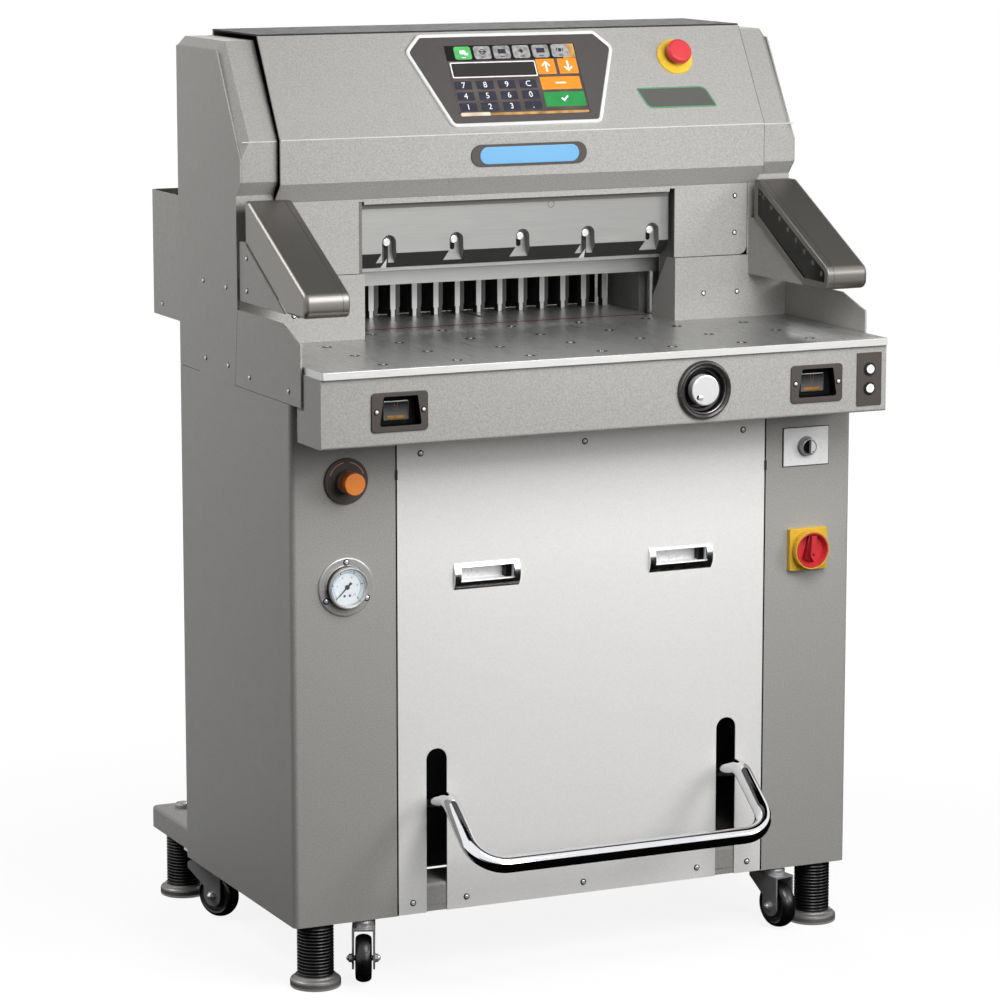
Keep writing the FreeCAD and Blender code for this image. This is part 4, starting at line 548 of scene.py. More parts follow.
# Surface-ground cast iron of the table: a satin mirror; its fine lines are drawn coarser
GROUND_IRON = BareMetal(
    "ground_cast_iron", "#C2C2C1", 0.3, 1.6, 0.002, "#B6B6B5", 0.04, 0.7, grain=Grain.BACK
)
# Planed and polished front edge of the table: almost white, partly a painted reflection
EDGE_REFLECTION_WHITE = BareMetal(
    "edge_painted_reflection", "#F4F4F2", 0.32, 0.8, 0.003, "#E8E8E6", 0.04, 0.35, grain=Grain.ACROSS
)
# Ground tool steel of the knife and the rods: fine lines from side to side
GROUND_STEEL = BareMetal(
    "ground_steel", "#BFBFBF", 0.3, 0.8, 0.004, "#B0B0B0", 0.05, grain=Grain.ACROSS
)
# Ground bevel of the knife's edge: a bright line of painted highlight
KNIFE_HIGHLIGHT = BareMetal(
    "edge_painted_highlight", "#FFFFFF", 0.3, 0.6, 0.001, "#F8F8F8", 0.04, 0.1, grain=Grain.HIGH
)
# Polished faces seen through the slits: white
SLIT_WHITE = BareMetal(
    "polished_slit", "#FFFFFF", 0.4, 0.6, 0.001, "#F4F4F4", 0.04, 0.1, grain=Grain.HIGH
)
# Milled and lacquered face of the carrier and the clamp: satin grey
CARRIER_STEEL = BareMetal(
    "milled_carrier", "#9A9A98", 0.42, 1.1, 0.004, "#90908E", 0.05, 0.6, grain=Grain.ACROSS
)
# Milled bevel under the carrier, dark as painted shade, and the stop button's stem: dark satin
DARK_AND_SHADE_STEEL = BareMetal(
    "dark_steel_painted_shade", "#4A4A49", 0.4, 1.1, 0.004, "#3E3E3D", 0.05, 0.5, grain=Grain.ACROSS
)
# Clamp's ground face: satin, a little darker
CLAMP_STEEL = BareMetal(
    "ground_clamp", "#A2A2A0", 0.42, 1.1, 0.004, "#969694", 0.05, 0.5, grain=Grain.ACROSS
)
# Planed back gauge with upright lines: dark grey as painted shade on its sides
COMB_SHADE_GREY = BareMetal(
    "comb_painted_shade", "#50504F", 0.4, 1.1, 0.004, "#484847", 0.05, 0.6, grain=Grain.HIGH
)
# Ground front faces of the fingers: almost white as painted light
FINGER_FRONT_LIGHT = BareMetal(
    "finger_painted_light", "#D8D8D6", 0.4, 1.1, 0.002, "#CCCCCA", 0.04, 0.2, grain=Grain.HIGH
)
# Pressed cup of the pull handles: bright nickel, a soft mirror, near white as painted reflection
CUP_WHITE_REFLECTION = BareMetal("cup_painted_reflection", "#FAFAFA", 0.3, 4, 0.001, "#F2F2F2", 0.04, 0.15)
# Turned and polished disc of the handwheel: almost white
DISC_STEEL = BareMetal("polished_disc", "#F2F2F2", 0.3, 2.4, 0.0005, "#ECECEC", 0.02, 0.3)
# Bar of the selector: bright satin nickel
BAR_STEEL = BareMetal(
    "nickel_bar", "#F8F8F8", 0.3, 0.8, 0.001, "#F0F0F0", 0.04, 0.1, grain=Grain.HIGH
)
# Zinc-plated heads of the knife bolts: white highlights
BOLT_STEEL = BareMetal("bolt_head_steel", "#F4F4F4", 0.25, 1.2, 0.002, "#EAEAEA", 0.04, 0.3)
# Hardened balls in the table: near mirrors
BALL_STEEL = BareMetal("ball_steel", "#F0F0F0", 0.1, 2, 0.001, "#E6E6E6", 0.03)
# Rolled rim of the palm switch's pane and lip of the handwheel's bowl: a thin grey light
RIM_STEEL = BareMetal("rim_steel", "#6E6E70", 0.25, 1.2, 0.001, "#66666A", 0.04, 0.7)
# Machined pads of the feet: satin grey
PAD_STEEL = BareMetal("machined_pad", "#8E8D8B", 0.42, 1.4, 0.002, "#858482", 0.04, 0.4)
# Rolled flange and bezel of the gauge: grey nickel
FLANGE_STEEL = BareMetal("nickel_flange", "#D0D0CF", 0.3, 1.4, 0.001, "#C6C6C5", 0.04, 0.45)
# Collar behind the regulator's knob: brown-grey, satin
COLLAR_GREY = Plastic("collar_abs", "#7A706C", 0.36, mottle="#716763", depth=0.004)
# Decorative chrome over nickel on tube: a near mirror with a faint ripple
CHROME = BareMetal("chrome_plate", "#EDEEF0", 0.06, 30, 0.05, "#E4E5E8", 0.02)
# Chrome over die-cast zinc on the pull handles: bright, its reflections softly blurred
CAST_CHROME = BareMetal("chrome_on_zinc", "#F0F0F1", 0.2, 6, 0.002, "#E8E8E9", 0.03)
# Dark nickel inside the handwheel's bowl: a dull, deep reflection
DARK_NICKEL = BareMetal("dark_nickel", "#4C4C4C", 0.36, 0.8, 0.001, "#464646", 0.04, 0.85)
# Chrome on the turned bosses of the pedal, a little softer than on its tube
SATIN_CHROME = BareMetal("satin_chrome", "#D6D6D6", 0.2, 0.8, 0.003, "#CACACA", 0.05)
# Polished steel of the selector's rings: mid grey
POLISHED_STEEL = BareMetal("polished_steel", "#A4A4A4", 0.3, 1.6, 0.002, "#9A9A9A", 0.04, 0.6)
# Blasted and anodised die-cast arms: warm dark grey with a soft sheen
GUNMETAL = BareMetal("anodised_gunmetal", "#7E7B77", 0.37, 3, 0.0001, "#7C7975", 0.01, 0.7)
# Bright zinc plate on the pressed casters: cold grey, slightly cloudy
ZINC = BareMetal("zinc_plate", "#AEAEAF", 0.36, 5, 0.002, "#A6A6A7", 0.03, 0.4)
# The same plate on the swivel races, lighter where it is polished
ZINC_BRIGHT = BareMetal("zinc_plate_bright", "#D0D1D2", 0.3, 5, 0.002, "#C6C7C9", 0.03, 0.6)
# Polished steel of screws and dome nuts: small bright lights
# Also the strip of painted highlight along each palm switch's pane
POLISH_AND_HIGHLIGHT_STEEL = BareMetal("polish_and_painted_highlight", "#F4F4F4", 0.2, 2, 0.002, "#EAEAEA", 0.04, 0.5)
# Blackened steel of washers, ball sockets and keyholes: nearly black, satin
# Also the block of painted shade at the end of each handle's cup
BLACKENED_AND_SHADE = BareMetal("blackened_and_painted_shade", "#2B2B2C", 0.36, 1.2, 0.006, "#1C1C1D", 0.06)
# Glass-filled nylon and ABS in black: fine spark grain
BLACK_PLASTIC = Plastic("black_nylon", "#1B1B1B", 0.45, mottle="#141414")
# Turned black acetal of the feet and of rings: glossy
RING_PLASTIC = Plastic("turned_acetal", "#101011", 0.34, mottle="#0C0C0D", depth=0.002)
# Glossy black polycarbonate: windows and screens
GLOSS_BLACK = Plastic(
    "gloss_polycarbonate", "#0A0A0B", 0.14, mottle="#080808", depth=0.002, shine=0.25
)
# Smoked pane of the palm switch: dark grey, glossy, darker towards its top as painted shade
SMOKED_GLASS_SHADED = Pane("smoked_glass_painted_shade", "#6A6A6C", 0.12)
# Dark brown-grey ABS of the handwheel's ring: satin
GREY_PLASTIC = Plastic("grey_abs", "#3C3836", 0.24, mottle="#363230", depth=0.006)
# Painted bezel face round the screen: brown-grey, matt
BEZEL_FACE = Plastic("bezel_face", "#504D4C", 0.42, mottle="#4C4948", depth=0.01, shine=0.3)
# White ABS of the bezel's rim: glossy
WHITE_GLOSS = Plastic("white_abs", "#EDEDEC", 0.22, mottle="#E6E6E5", depth=0.004, coat=0.3)
# Moulded face of the push buttons: pure white
BUTTON_WHITE = Plastic("button_white", "#FFFFFF", 0.3, mottle="#FAFAFA", depth=0.001)
# Printed sheet on the selector's plate: white, even
WHITE_SHEET = Plastic("white_sheet", "#FFFFFF", 0.3, mottle="#FCFCFC", depth=0.001)
# Moulded red nylon of the stop button and the isolator: a soft gloss
RED_GLOSS = Plastic("red_nylon", "#DC3C42", 0.34, mottle="#D4363C", depth=0.006, shine=0.35)
# The isolator's upright faces: the same nylon, deeper red as painted shade
RED_SHADED_SIDE = Plastic("red_nylon_painted_shade", "#8E1B21", 0.34, mottle="#86171D", depth=0.006, shine=0.3)
# Top of the stop button: paler and more matt
RED_TOP = Plastic("red_nylon_top", "#DC474C", 0.42, mottle="#D84248", depth=0.006, shine=0.25)
# Moulded yellow ring under the stop button: glossy
YELLOW_GLOSS = Plastic("yellow_nylon", "#EAC83F", 0.32, mottle="#E4C038", depth=0.006)
# The isolator's plate and rim: a deeper yellow
YELLOW_DEEP = Plastic("yellow_nylon_deep", "#E9BE3C", 0.32, mottle="#E3B736", depth=0.006)
# Moulded orange nylon of the regulator's knob: satin
ORANGE_SATIN = Plastic("orange_nylon", "#F8943F", 0.36, mottle="#F48E3A", depth=0.01)
# Its turned side: the same nylon, deeper orange as painted shade
ORANGE_SHADED_SIDE = Plastic("orange_nylon_painted_shade", "#C8641E", 0.36, mottle="#BE5C1A", depth=0.01)
# Printed marks on the regulator's disc: pale orange, matt
ORANGE_INK = Plastic("orange_ink", "#E0996A", 0.5, mottle="#D89062", depth=0.002)
# Amber resin strip behind the palm switch's pane
AMBER = Plastic("amber_strip", "#A8721E", 0.3, mottle="#8A5A14", grain=0.8)
# Varnished leads beside the strip: darker brown
LEAD_BROWN = Plastic("lead_brown", "#7A4E20", 0.4, mottle="#6C4318", depth=0.002)
# Extruded cutting stick of soft red plastic: dull
STICK_RED = Plastic("cutting_stick", "#7A2A26", 0.45, mottle="#6E2420")
# Moulded rubber tread of the casters: black with a soft gloss
TYRE = Plastic("tyre_rubber", "#0C0C0D", 0.3, mottle="#101011", grain=2, depth=0.006, shine=0.6)
# Moulded nylon hub of the casters: dark grey
HUB_PLASTIC = Plastic("hub_plastic", "#3E3E3F", 0.36, mottle="#363637")
# Printed dial of the pressure gauge: white with a cold tone
DIAL_WHITE = Plastic("dial_print", "#F2F7FA", 0.4, mottle="#ECF3F8", depth=0.002)
# Its printed blue band
DIAL_BLUE = Plastic("dial_blue", "#A4D4EA", 0.4, mottle="#9CCCE4", depth=0.002)
# Black printing ink of the marks and the needle: matt
INK = Plastic("black_ink", "#1C1E22", 0.4, mottle="#16181C", depth=0.002)
# Blue printing ink of the figures: paler
INK_BLUE = Plastic("blue_ink", "#5F9CB8", 0.4, mottle="#5792AE", depth=0.002)
# Clear float glass of the gauge
CLEAR_GLASS = Glass("gauge_glass", "#FFFFFF", 0.02)
# Frosted lens of the status lamp, lit from behind: an even blue
LAMP_BLUE = Glow("lamp_lens", "#6BA5D0", 0.4, 0.22, "#65A0C9", 40)
# Keys of the display behind glass: dark with a cold sheen, orange, green, lime and silver
KEY_DARK = Glow("display_key", "#23243A", 0.2, 0.35, "#14141F", 9)
KEY_ORANGE = Glow("display_orange", "#E88A1E", 0.3, 0.3, "#DE8018", 14)
KEY_GREEN = Glow("display_green", "#1A8A40", 0.3, 0.25, "#147A38", 14)
KEY_LIME = Glow("display_lime", "#5FB86A", 0.25, 0.3, "#2E9A48", 9)
KEY_SILVER = Glow("display_silver", "#B4B4B4", 0.22, 0.15, "#6A6A6A", 6)
# Figures and glyphs on them: white
KEY_WHITE = Glow("display_white", "#E4E4E4", 0.3, 0.45, "#DADADA", 9)
# Gold of the display's lower line and of the sweep at its corner
SWEEP_GOLD = Glow("display_gold", "#D9A860", 0.3, 0.35, "#6A4A26", 16)
# Pale shine on that line
SHINE_PALE = Glow("display_shine", "#E4D8C8", 0.3, 0.35, "#A08468", 26)
# Ground of the display and the field for the measure: dim and warm
DISPLAY_GROUND = Glow("display_ground", "#5A504A", 0.18, 0.25, "#2E2826", 30)
DISPLAY_FIELD = Glow("display_field", "#211D1C", 0.18, 0.15, "#191615", 30)
# Moulded lenses of the light curtain's receivers: dark grey, glossy
LED_GREY = Plastic("receiver_lens", "#565654", 0.2, mottle="#464644", depth=0.004)
# Printed foil of the notice plate: dark grey with a green edge
NOTICE = Plastic("notice_plate", "#555552", 0.45, mottle="#4F4F4C", depth=0.004)
NOTICE_EDGE = Plastic("notice_edge", "#5E9A6A", 0.45, mottle="#578F62", depth=0.004)
# Unlit inside seen through gaps: black, matt
DARK_GAP = Plastic("dark_inside", "#0E0E0E", 0.8, mottle="#0A0A0A", shine=0.1)
# The grey coat drawn lighter along the bends: a painted highlight
FOLD_HIGHLIGHT = PowderCoat(
    "painted_fold_highlight", "#DEDDDA", 0.4, fleck="#E4E3E0", shade="#D4D3D0", depth=0.01, shine=0.5
)
# Joint lines of the head, and painted shadow under the window's lip over the throat: the grey coat
# darker
JOINT_AND_SHADOW_GREY = Plastic("seam_shade", "#75746F", 0.6, mottle="#6C6B67", depth=0.002)


# Meshes


class Form:
    """A mesh under construction, in millimetres of the machine's frame."""

    def __init__(self) -> None:
        """Start an empty mesh."""
        self.mesh = bmesh.new()
        self.finishes: list[Finish] = []

    def _close(self, faces: list[bmesh.types.BMFace], place: Matrix, finish: Finish) -> None:
        """Set a closed shape down, turn its faces out and give it its finish.

        Args:
            faces: The shape's faces.
            place: The matrix from its own axes to the machine's.
            finish: Its finish.
        """
        if finish not in self.finishes:
            self.finishes.append(finish)
        index = self.finishes.index(finish)
        verts = list({vert for face in faces for vert in face.verts})
        bmesh.ops.transform(self.mesh, matrix=place, verts=verts)
        bmesh.ops.recalc_face_normals(self.mesh, faces=faces)
        for face in faces:
            face.material_index = index
            face.smooth = True

    def lathe(self, place: Matrix, profile: Profile, finish: Finish, steps: int = 64) -> None:
        """Add a shape turned about the local Z axis.

        Args:
            place: Where its axes are.
            profile: Radius and height of each corner; a radius of 0 closes an end, and otherwise
                the last corner joins the first.
            finish: Its finish.
            steps: Faces round the axis.
        """
        rings: list[list[Vert]] = []
        for radius, height in profile:
            if radius == 0:
                rings.append([self.mesh.verts.new((0, 0, height))])
                continue
            turns = [2 * math.pi * step / steps for step in range(steps)]
            rings.append([self.mesh.verts.new((*polar(radius, turn), height)) for turn in turns])
        if profile[0][0] != 0:
            rings.append(rings[0])
        faces = []
        for low, high in zip(rings, rings[1:]):
            for step in range(steps):
                after = (step + 1) % steps
                corners = [low[step % len(low)], low[after % len(low)]]
                corners += [high[after % len(high)], high[step % len(high)]]
                faces.append(self.mesh.faces.new(list(dict.fromkeys(corners))))
        following = [*profile[1:], profile[0]]
        for one, other, low, high in zip(profile, following, rings, rings[1:]):
            if math.dist(one, other) > SOFT_REACH:
                for ring in (low, high):
                    if len(ring) > 1:
                        self._crease(ring)
        self._close(faces, place, finish)

    def slab(
        self,
        place: Matrix,
        outline: Profile,
        low: float,
        high: float,
        finish: Finish,
        edge: float = 0,
        holes: Sequence[Profile] = (),
        rounds: int = 2,
    ) -> None:
        """Add a plate with an outline, and holes if it has any.

        Args:
            place: Where its axes are.
            outline: The corners of its outline in local X and Y.
            low: Local Z of its back.
            high: Local Z of its face.
            finish: Its finish.
            edge: Rounding round its face.
            holes: The corners of each hole.
            rounds: Steps of the rounding.
        """
        section = [(0, low), (0, high)]
        if edge:
            turns = [math.pi / 2 * step / rounds for step in range(rounds + 1)]
            section = [(0, low)]
            section += [
                (edge * (1 - math.cos(turn)), high - edge * (1 - math.sin(turn))) for turn in turns
            ]
        faces: list[bmesh.types.BMFace] = []
        ends: list[list[Vert]] = []
        rims: list[list[Vert]] = []
        for way, loop in ((1, outline), *((-1, hole) for hole in holes)):
            rings = [
                [self.mesh.verts.new((x, y, rise)) for x, y in inset(loop, way * inward)]
                for inward, rise in section
            ]
            faces += self._walls(rings)
            self._crease(rings[1])
            ends.append(rings[0])
            rims.append(rings[-1])
        for rings in (ends, rims):
            border = [side for ring in rings for side in self._crease(ring)]
            filled = bmesh.ops.triangle_fill(self.mesh, edges=border, use_beauty=True)["geom"]
            faces += [item for item in filled if isinstance(item, bmesh.types.BMFace)]
        self._close(faces, place, finish)

    def _walls(self, rings: Sequence[list[Vert]]) -> list[bmesh.types.BMFace]:
        """Join each ring of corners to the next one.

        Args:
            rings: Rings with as many corners each.

        Returns:
            The new faces.
        """
        faces = []
        for low, high in zip(rings, rings[1:]):
            for here in range(len(low)):
                after = (here + 1) % len(low)
                faces.append(self.mesh.faces.new((low[here], low[after], high[after], high[here])))
        return faces

    def _crease(self, ring: list[Vert]) -> list[bmesh.types.BMEdge]:
        """Keep the soft shading from running over a ring of corners.

        Args:
            ring: The corners, already joined by faces.

        Returns:
            The edges of the ring.
        """
        edges = [self.mesh.edges.get(pair) for pair in zip(ring, ring[1:] + ring[:1])]
        for edge in edges:
            edge.smooth = False
        return edges

    def moulding(self, place: Matrix, outline: Profile, section: Profile, finish: Finish) -> None:
        """Add a strip of one section round an outline.

        Args:
            place: Where its axes are.
            outline: The corners of the outline in local X and Y.
            section: How far in from the outline, and how high, each corner of the section is.
            finish: Its finish.
        """
        rings = [
            [self.mesh.verts.new((x, y, high)) for x, y in inset(outline, inward)]
            for inward, high in section
        ]
        self._close(self._walls(rings + rings[:1]), place, finish)

    def sweep(self, path: Sequence[Vector], radius: float, finish: Finish, steps: int) -> None:
        """Add a round bar along a path in the machine's frame.

        Args:
            path: The points of its middle line.
            radius: Its radius.
            finish: Its finish.
            steps: Faces round it.
        """
        rings = []
        side = Vector(UP)
        for index, point in enumerate(path):
            before = path[max(index - 1, 0)]
            after = path[min(index + 1, len(path) - 1)]
            along = (after - before).normalized()
            side = (side - along * side.dot(along)).normalized()
            other = along.cross(side)
            shares = [polar(1, 2 * math.pi * step / steps) for step in range(steps)]
            points = [point + radius * (one * side + two * other) for one, two in shares]
            rings.append([self.mesh.verts.new(corner) for corner in points])
        faces = [self.mesh.faces.new(rings[0]), self.mesh.faces.new(rings[-1])]
        self._close(faces + self._walls(rings), Matrix.Identity(4), finish)

    def lettering(self, place: Matrix, words: str, size: float, finish: Finish) -> None:
        """Add figures or letters, centred on a place.

        Args:
            place: Where their middle is.
            words: The figures.
            size: Their size.
            finish: Their finish.
        """
        half_thick = 0.06
        curve = bpy.data.curves.new("figures", "FONT")
        curve.body = words
        curve.size = size
        curve.align_x = "CENTER"
        curve.align_y = "CENTER"
        curve.extrude = half_thick
        curve.resolution_u = 3
        maker = bpy.data.objects.new("figures", curve)
        shape = bpy.data.meshes.new_from_object(maker)
        loose = bmesh.new()
        loose.from_mesh(shape)
        bmesh.ops.remove_doubles(loose, verts=loose.verts, dist=0.001)
        lift = Vector((0, 0, half_thick))
        copies = {vert: self.mesh.verts.new(vert.co + lift) for vert in loose.verts}
        faces = [self.mesh.faces.new([copies[vert] for vert in face.verts]) for face in loose.faces]
        loose.free()
        self._close(faces, place, finish)
        bpy.data.objects.remove(maker)
        bpy.data.curves.remove(curve)
        bpy.data.meshes.remove(shape)

    def piece(
        self, name: str, body: str, replaces: Sequence[str] = ()
    ) -> bpy.types.Object:
        """Make the Blender object and let it ride on its body.

        Args:
            name: The piece's name.
            body: The body that it moves with.
            replaces: The CAD nodes that it stands for.

        Returns:
            The object.
        """
        return settle(bpy.data.objects.new(name, self.data(name)), body, replaces)

    def data(self, name: str) -> bpy.types.Mesh:
        """Turn what is made so far to a Blender mesh in metres.

        Args:
            name: The mesh's name.

        Returns:
            The mesh, with its materials and its sharp edges.
        """
        for edge in self.mesh.edges:
            edge.smooth = edge.smooth and edge.calc_face_angle(0) < SOFT_ANGLE
        bmesh.ops.transform(self.mesh, matrix=Matrix.Scale(MM, 4), verts=self.mesh.verts)
        data = bpy.data.meshes.new(name)
        self.mesh.to_mesh(data)
        self.mesh.free()
        for finish in self.finishes:
            data.materials.append(finish.material())
        return data


def settle(
    made: bpy.types.Object, body: str, replaces: Sequence[str] = ()
) -> bpy.types.Object:
    """Link an object into the scene and let it ride on its body.

    Args:
        made: The object, with its place in its mesh.
        body: The body that it moves with.
        replaces: The CAD nodes that it stands for.

    Returns:
        The object.
    """
    if made.name not in bpy.context.scene.collection.objects:
        bpy.context.scene.collection.objects.link(made)
    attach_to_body(made, body)
    if replaces:
        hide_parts(*replaces)
    LOG.info("%s: %d faces on %s", made.name, len(made.data.polygons), body)
    return made


def dress(finish: Finish, *nodes: str) -> None:
    """Give CAD nodes their finish.

    Args:
        finish: The finish.
        *nodes: The nodes' names.
    """
    for node in nodes:
        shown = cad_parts[node]
        if not shown.material_slots:
            shown.data.materials.append(None)
        for slot in shown.material_slots:
            slot.material = finish.material()


def rounded(half_x: float, half_y: float, corner: float, steps: int = 6) -> list[Point]:
    """Outline of a rectangle about 0 with rounded corners.

    Args:
        half_x: Half its width.
        half_y: Half its height.
        corner: Radius of its corners.
        steps: Steps of each corner.

    Returns:
        Its corners, going round.
    """
    points = []
    for turn, (sign_x, sign_y) in enumerate(((1, 1), (-1, 1), (-1, -1), (1, -1))):
        middle = (sign_x * (half_x - corner), sign_y * (half_y - corner))
        for step in range(steps + 1):
            x, y = polar(corner, math.pi / 2 * (turn + step / steps))
            points.append((middle[0] + x, middle[1] + y))
    return points


def arc(radius: float, wide: float, start: float, end: float) -> list[Point]:
    """Outline of an arc.

    Args:
        radius: Radius of its middle line.
        wide: Its width.
        start: Where it starts, in degrees.
        end: Where it ends, in degrees.

    Returns:
        Its corners, going round.
    """
    turns = [math.radians(start + (end - start) * step / 48) for step in range(49)]
    outline = [polar(radius + wide / 2, turn) for turn in turns]
    return outline + [polar(radius - wide / 2, turn) for turn in reversed(turns)]


def softened(corners: Sequence[tuple[float, ...]], steps: int = 5) -> list[Point]:
    """Outline with each corner rounded by its own third value.

    Args:
        corners: X, Y and radius of each corner, going round.
        steps: Steps of each corner.

    Returns:
        The corners of the rounded outline.
    """
    points: list[Point] = []
    count = len(corners)
    for index, (x, y, radius) in enumerate(corners):
        here = Vector((x, y))
        before = (Vector(corners[index - 1][:2]) - here).normalized()
        after = (Vector(corners[(index + 1) % count][:2]) - here).normalized()
        if radius == 0:
            points.append((x, y))
            continue
        half = before.angle(after) / 2
        reach = radius / math.tan(half)
        middle = here + (before + after).normalized() * radius / math.sin(half)
        start = here + before * reach - middle
        swing = start.angle_signed(here + after * reach - middle)
        for step in range(steps + 1):
            cosine, sine = polar(1, -swing * step / steps)
            x = middle.x + start.x * cosine - start.y * sine
            y = middle.y + start.x * sine + start.y * cosine
            points.append((x, y))
    return points


def inset(outline: Profile, amount: float) -> list[Point]:
    """Outline moved inwards, with its corners kept square to their sides.

    Args:
        outline: The corners of the outline, going either way round.
        amount: How far in; a negative amount moves it out.

    Returns:
        The corners of the moved outline.
    """
    points = [Vector(point) for point in outline]
    following = points[1:] + points[:1]
    turned = sum(one.x * other.y - other.x * one.y for one, other in zip(points, following))
    way = math.copysign(amount, turned)
    moved = []
    for index, point in enumerate(points):
        before = (point - points[index - 1]).normalized()
        after = (following[index] - point).normalized()
        first = Vector((-before.y, before.x))
        second = Vector((-after.y, after.x))
        middle = (first + second).normalized()
        shifted = point + middle * way / max(middle.dot(first), 0.3)
        moved.append((shifted.x, shifted.y))
    return moved


# Repeats


@dataclass
class Scatter:
    """Copies of one small turned shape at many places of the machine, by Geometry Nodes.

    Attributes:
        name: The piece's name.
        finish: The finish of all copies.
        pattern: Profile of the copied turned shape, radius and height.
        places: Point and outward direction of each copy.
        steps: Faces round each copy.
        seed: Seed of the copies' turns.
    """

    name: str
    finish: Finish
    pattern: Profile
    places: Places
    steps: int = 16
    seed: int = 7

    def tree(self) -> Tree:
        """Make the nodes that set the copies down, each turned at random about its own axis.

        Returns:
            Their tree.
        """
        tree = bpy.data.node_groups.new(self.name + "_nodes", "GeometryNodeTree")
        for name, kind in (("Geometry", "Geometry"), ("Pattern", "Object"), ("Seed", "Int")):
            tree.interface.new_socket(name, in_out="INPUT", socket_type="NodeSocket" + kind)
        tree.interface.new_socket("Geometry", in_out="OUTPUT", socket_type="NodeSocketGeometry")
        given = add_node(tree, "NodeGroupInput").outputs
        vector = {"data_type": "FLOAT_VECTOR"}
        out = add_node(tree, "GeometryNodeInputNamedAttribute", {"Name": "out"}, **vector)
        inputs = {"Vector": out.outputs["Attribute"]}
        upright = add_node(tree, "FunctionNodeAlignRotationToVector", inputs, axis="Z")
        spin = add_node(tree, "FunctionNodeRandomValue", {"Seed": given["Seed"]}, **vector)
        spin.inputs["Max"].default_value = (0, 0, 2 * math.pi)
        inputs = {"Rotation": upright.outputs["Rotation"], "Rotate By": spin.outputs["Value"]}
        turned = add_node(tree, "FunctionNodeRotateRotation", inputs, rotation_space="LOCAL")
        shape = add_node(tree, "GeometryNodeObjectInfo", {"Object": given["Pattern"]})
        inputs = {"Points": given["Geometry"], "Instance": shape.outputs["Geometry"]}
        inputs["Rotation"] = turned.outputs["Rotation"]
        copies = add_node(tree, "GeometryNodeInstanceOnPoints", inputs)
        inputs = {"Geometry": copies.outputs["Instances"]}
        whole = add_node(tree, "GeometryNodeRealizeInstances", inputs)
        inputs = {"Geometry": whole.outputs["Geometry"], "Material": self.finish.material()}
        dressed = add_node(tree, "GeometryNodeSetMaterial", inputs)
        add_node(tree, "NodeGroupOutput", {"Geometry": dressed.outputs["Geometry"]})
        return tree

    def build(self, slot: str, replaces: Sequence[str] = ()) -> bpy.types.Object:
        """Make the copies one mesh on the machine.

        Args:
            slot: The record's material slot; not used.
            replaces: The CAD nodes that they stand for.

        Returns:
            The object.
        """
        small = Form()
        small.lathe(Matrix.Identity(4), self.pattern, self.finish, self.steps)
        pattern = bpy.data.objects.new(self.name + "_pattern", small.data(self.name + "_pattern"))
        bpy.context.scene.collection.objects.link(pattern)
        points = bpy.data.meshes.new(self.name + "_points")
        points.from_pydata([Vector(where) * MM for where, _ in self.places], [], [])
        outward = points.attributes.new("out", "FLOAT_VECTOR", "POINT")
        outward.data.foreach_set("vector", [value for _, out in self.places for value in out])
        maker = bpy.data.objects.new(self.name + "_maker", points)
        bpy.context.scene.collection.objects.link(maker)
        modifier = maker.modifiers.new("copies", "NODES")
        tree = self.tree()
        modifier.node_group = tree
        sockets = {
            item.name: item.identifier
            for item in tree.interface.items_tree
            if item.item_type == "SOCKET" and item.in_out == "INPUT"
        }
        modifier[sockets["Pattern"]] = pattern
        modifier[sockets["Seed"]] = self.seed
        bpy.context.view_layer.update()
        evaluated = maker.evaluated_get(bpy.context.evaluated_depsgraph_get())
        data = bpy.data.meshes.new_from_object(evaluated)
        data.name = self.name
        bpy.data.objects.remove(maker)
        bpy.data.objects.remove(pattern)
        made = bpy.data.objects.new(self.name, data)
        return settle(made, "machine", replaces)


class Screw(Enum):
    """Kinds of button-head screw: profile of the head, and of the washer's rim round it."""

    PANEL = (
        ((0, -0.6), (3.5, -0.6), (3.5, 1), (2.9, 2.2), (1.9, 2.8), (1.3, 2.9), (1, 2),
         (0, 2)),
        ((3.3, -0.4), (4.9, -0.4), (4.9, 0.3), (4.3, 0.8), (3.3, 0.8)),
    )
    SMALL = (
        ((0, -0.4), (3, -0.4), (3, 0.7), (2.4, 1.8), (1.4, 2.3), (0.8, 2.3), (0.6, 1.6),
         (0, 1.6)),
        ((2.8, -0.3), (4.2, -0.3), (4.2, 0.2), (3.7, 0.6), (2.8, 0.6)),
    )


def faced(points: Sequence[Sequence[float]], out: Sequence[float]) -> Places:
    """Give each of some points the same outward direction."""
    return [(point, out) for point in points]


def fasten(what: str, screw: Screw, places: Places) -> None:
    """Set screws down, each with its washer.

    Args:
        what: What they hold, for the names of their pieces.
        screw: Their kind.
        places: Point and outward direction of each.
    """
    head, rim = screw.value
    Scatter(what + "_screws", POLISH_AND_HIGHLIGHT_STEEL, head, places).build("zinc")
    Scatter(what + "_screw_rims", BLACKENED_AND_SHADE, rim, places).build("zinc")


def bent(points: Sequence[Vector], bends: Sequence[float], steps: int) -> list[Vector]:
    """Middle line of a bar with an arc at each inner point.

    Args:
        points: Its ends and corners.
        bends: The radius at each corner.
        steps: Steps of each arc.

    Returns:
        The points of the line.
    """
    line = [points[0]]
    for before, corner, after, radius in zip(points, points[1:], points[2:], bends):
        back = (before - corner).normalized()
        ahead = (after - corner).normalized()
        half = back.angle(ahead) / 2
        middle = corner + (back + ahead).normalized() * radius / math.sin(half)
        start = corner + back * radius / math.tan(half) - middle
        axis = back.cross(ahead).normalized()
        sweep = -(math.pi - 2 * half)
        for step in range(steps + 1):
            line.append(middle + Matrix.Rotation(sweep * step / steps, 3, axis) @ start)
    return line + [points[-1]]


# The machine


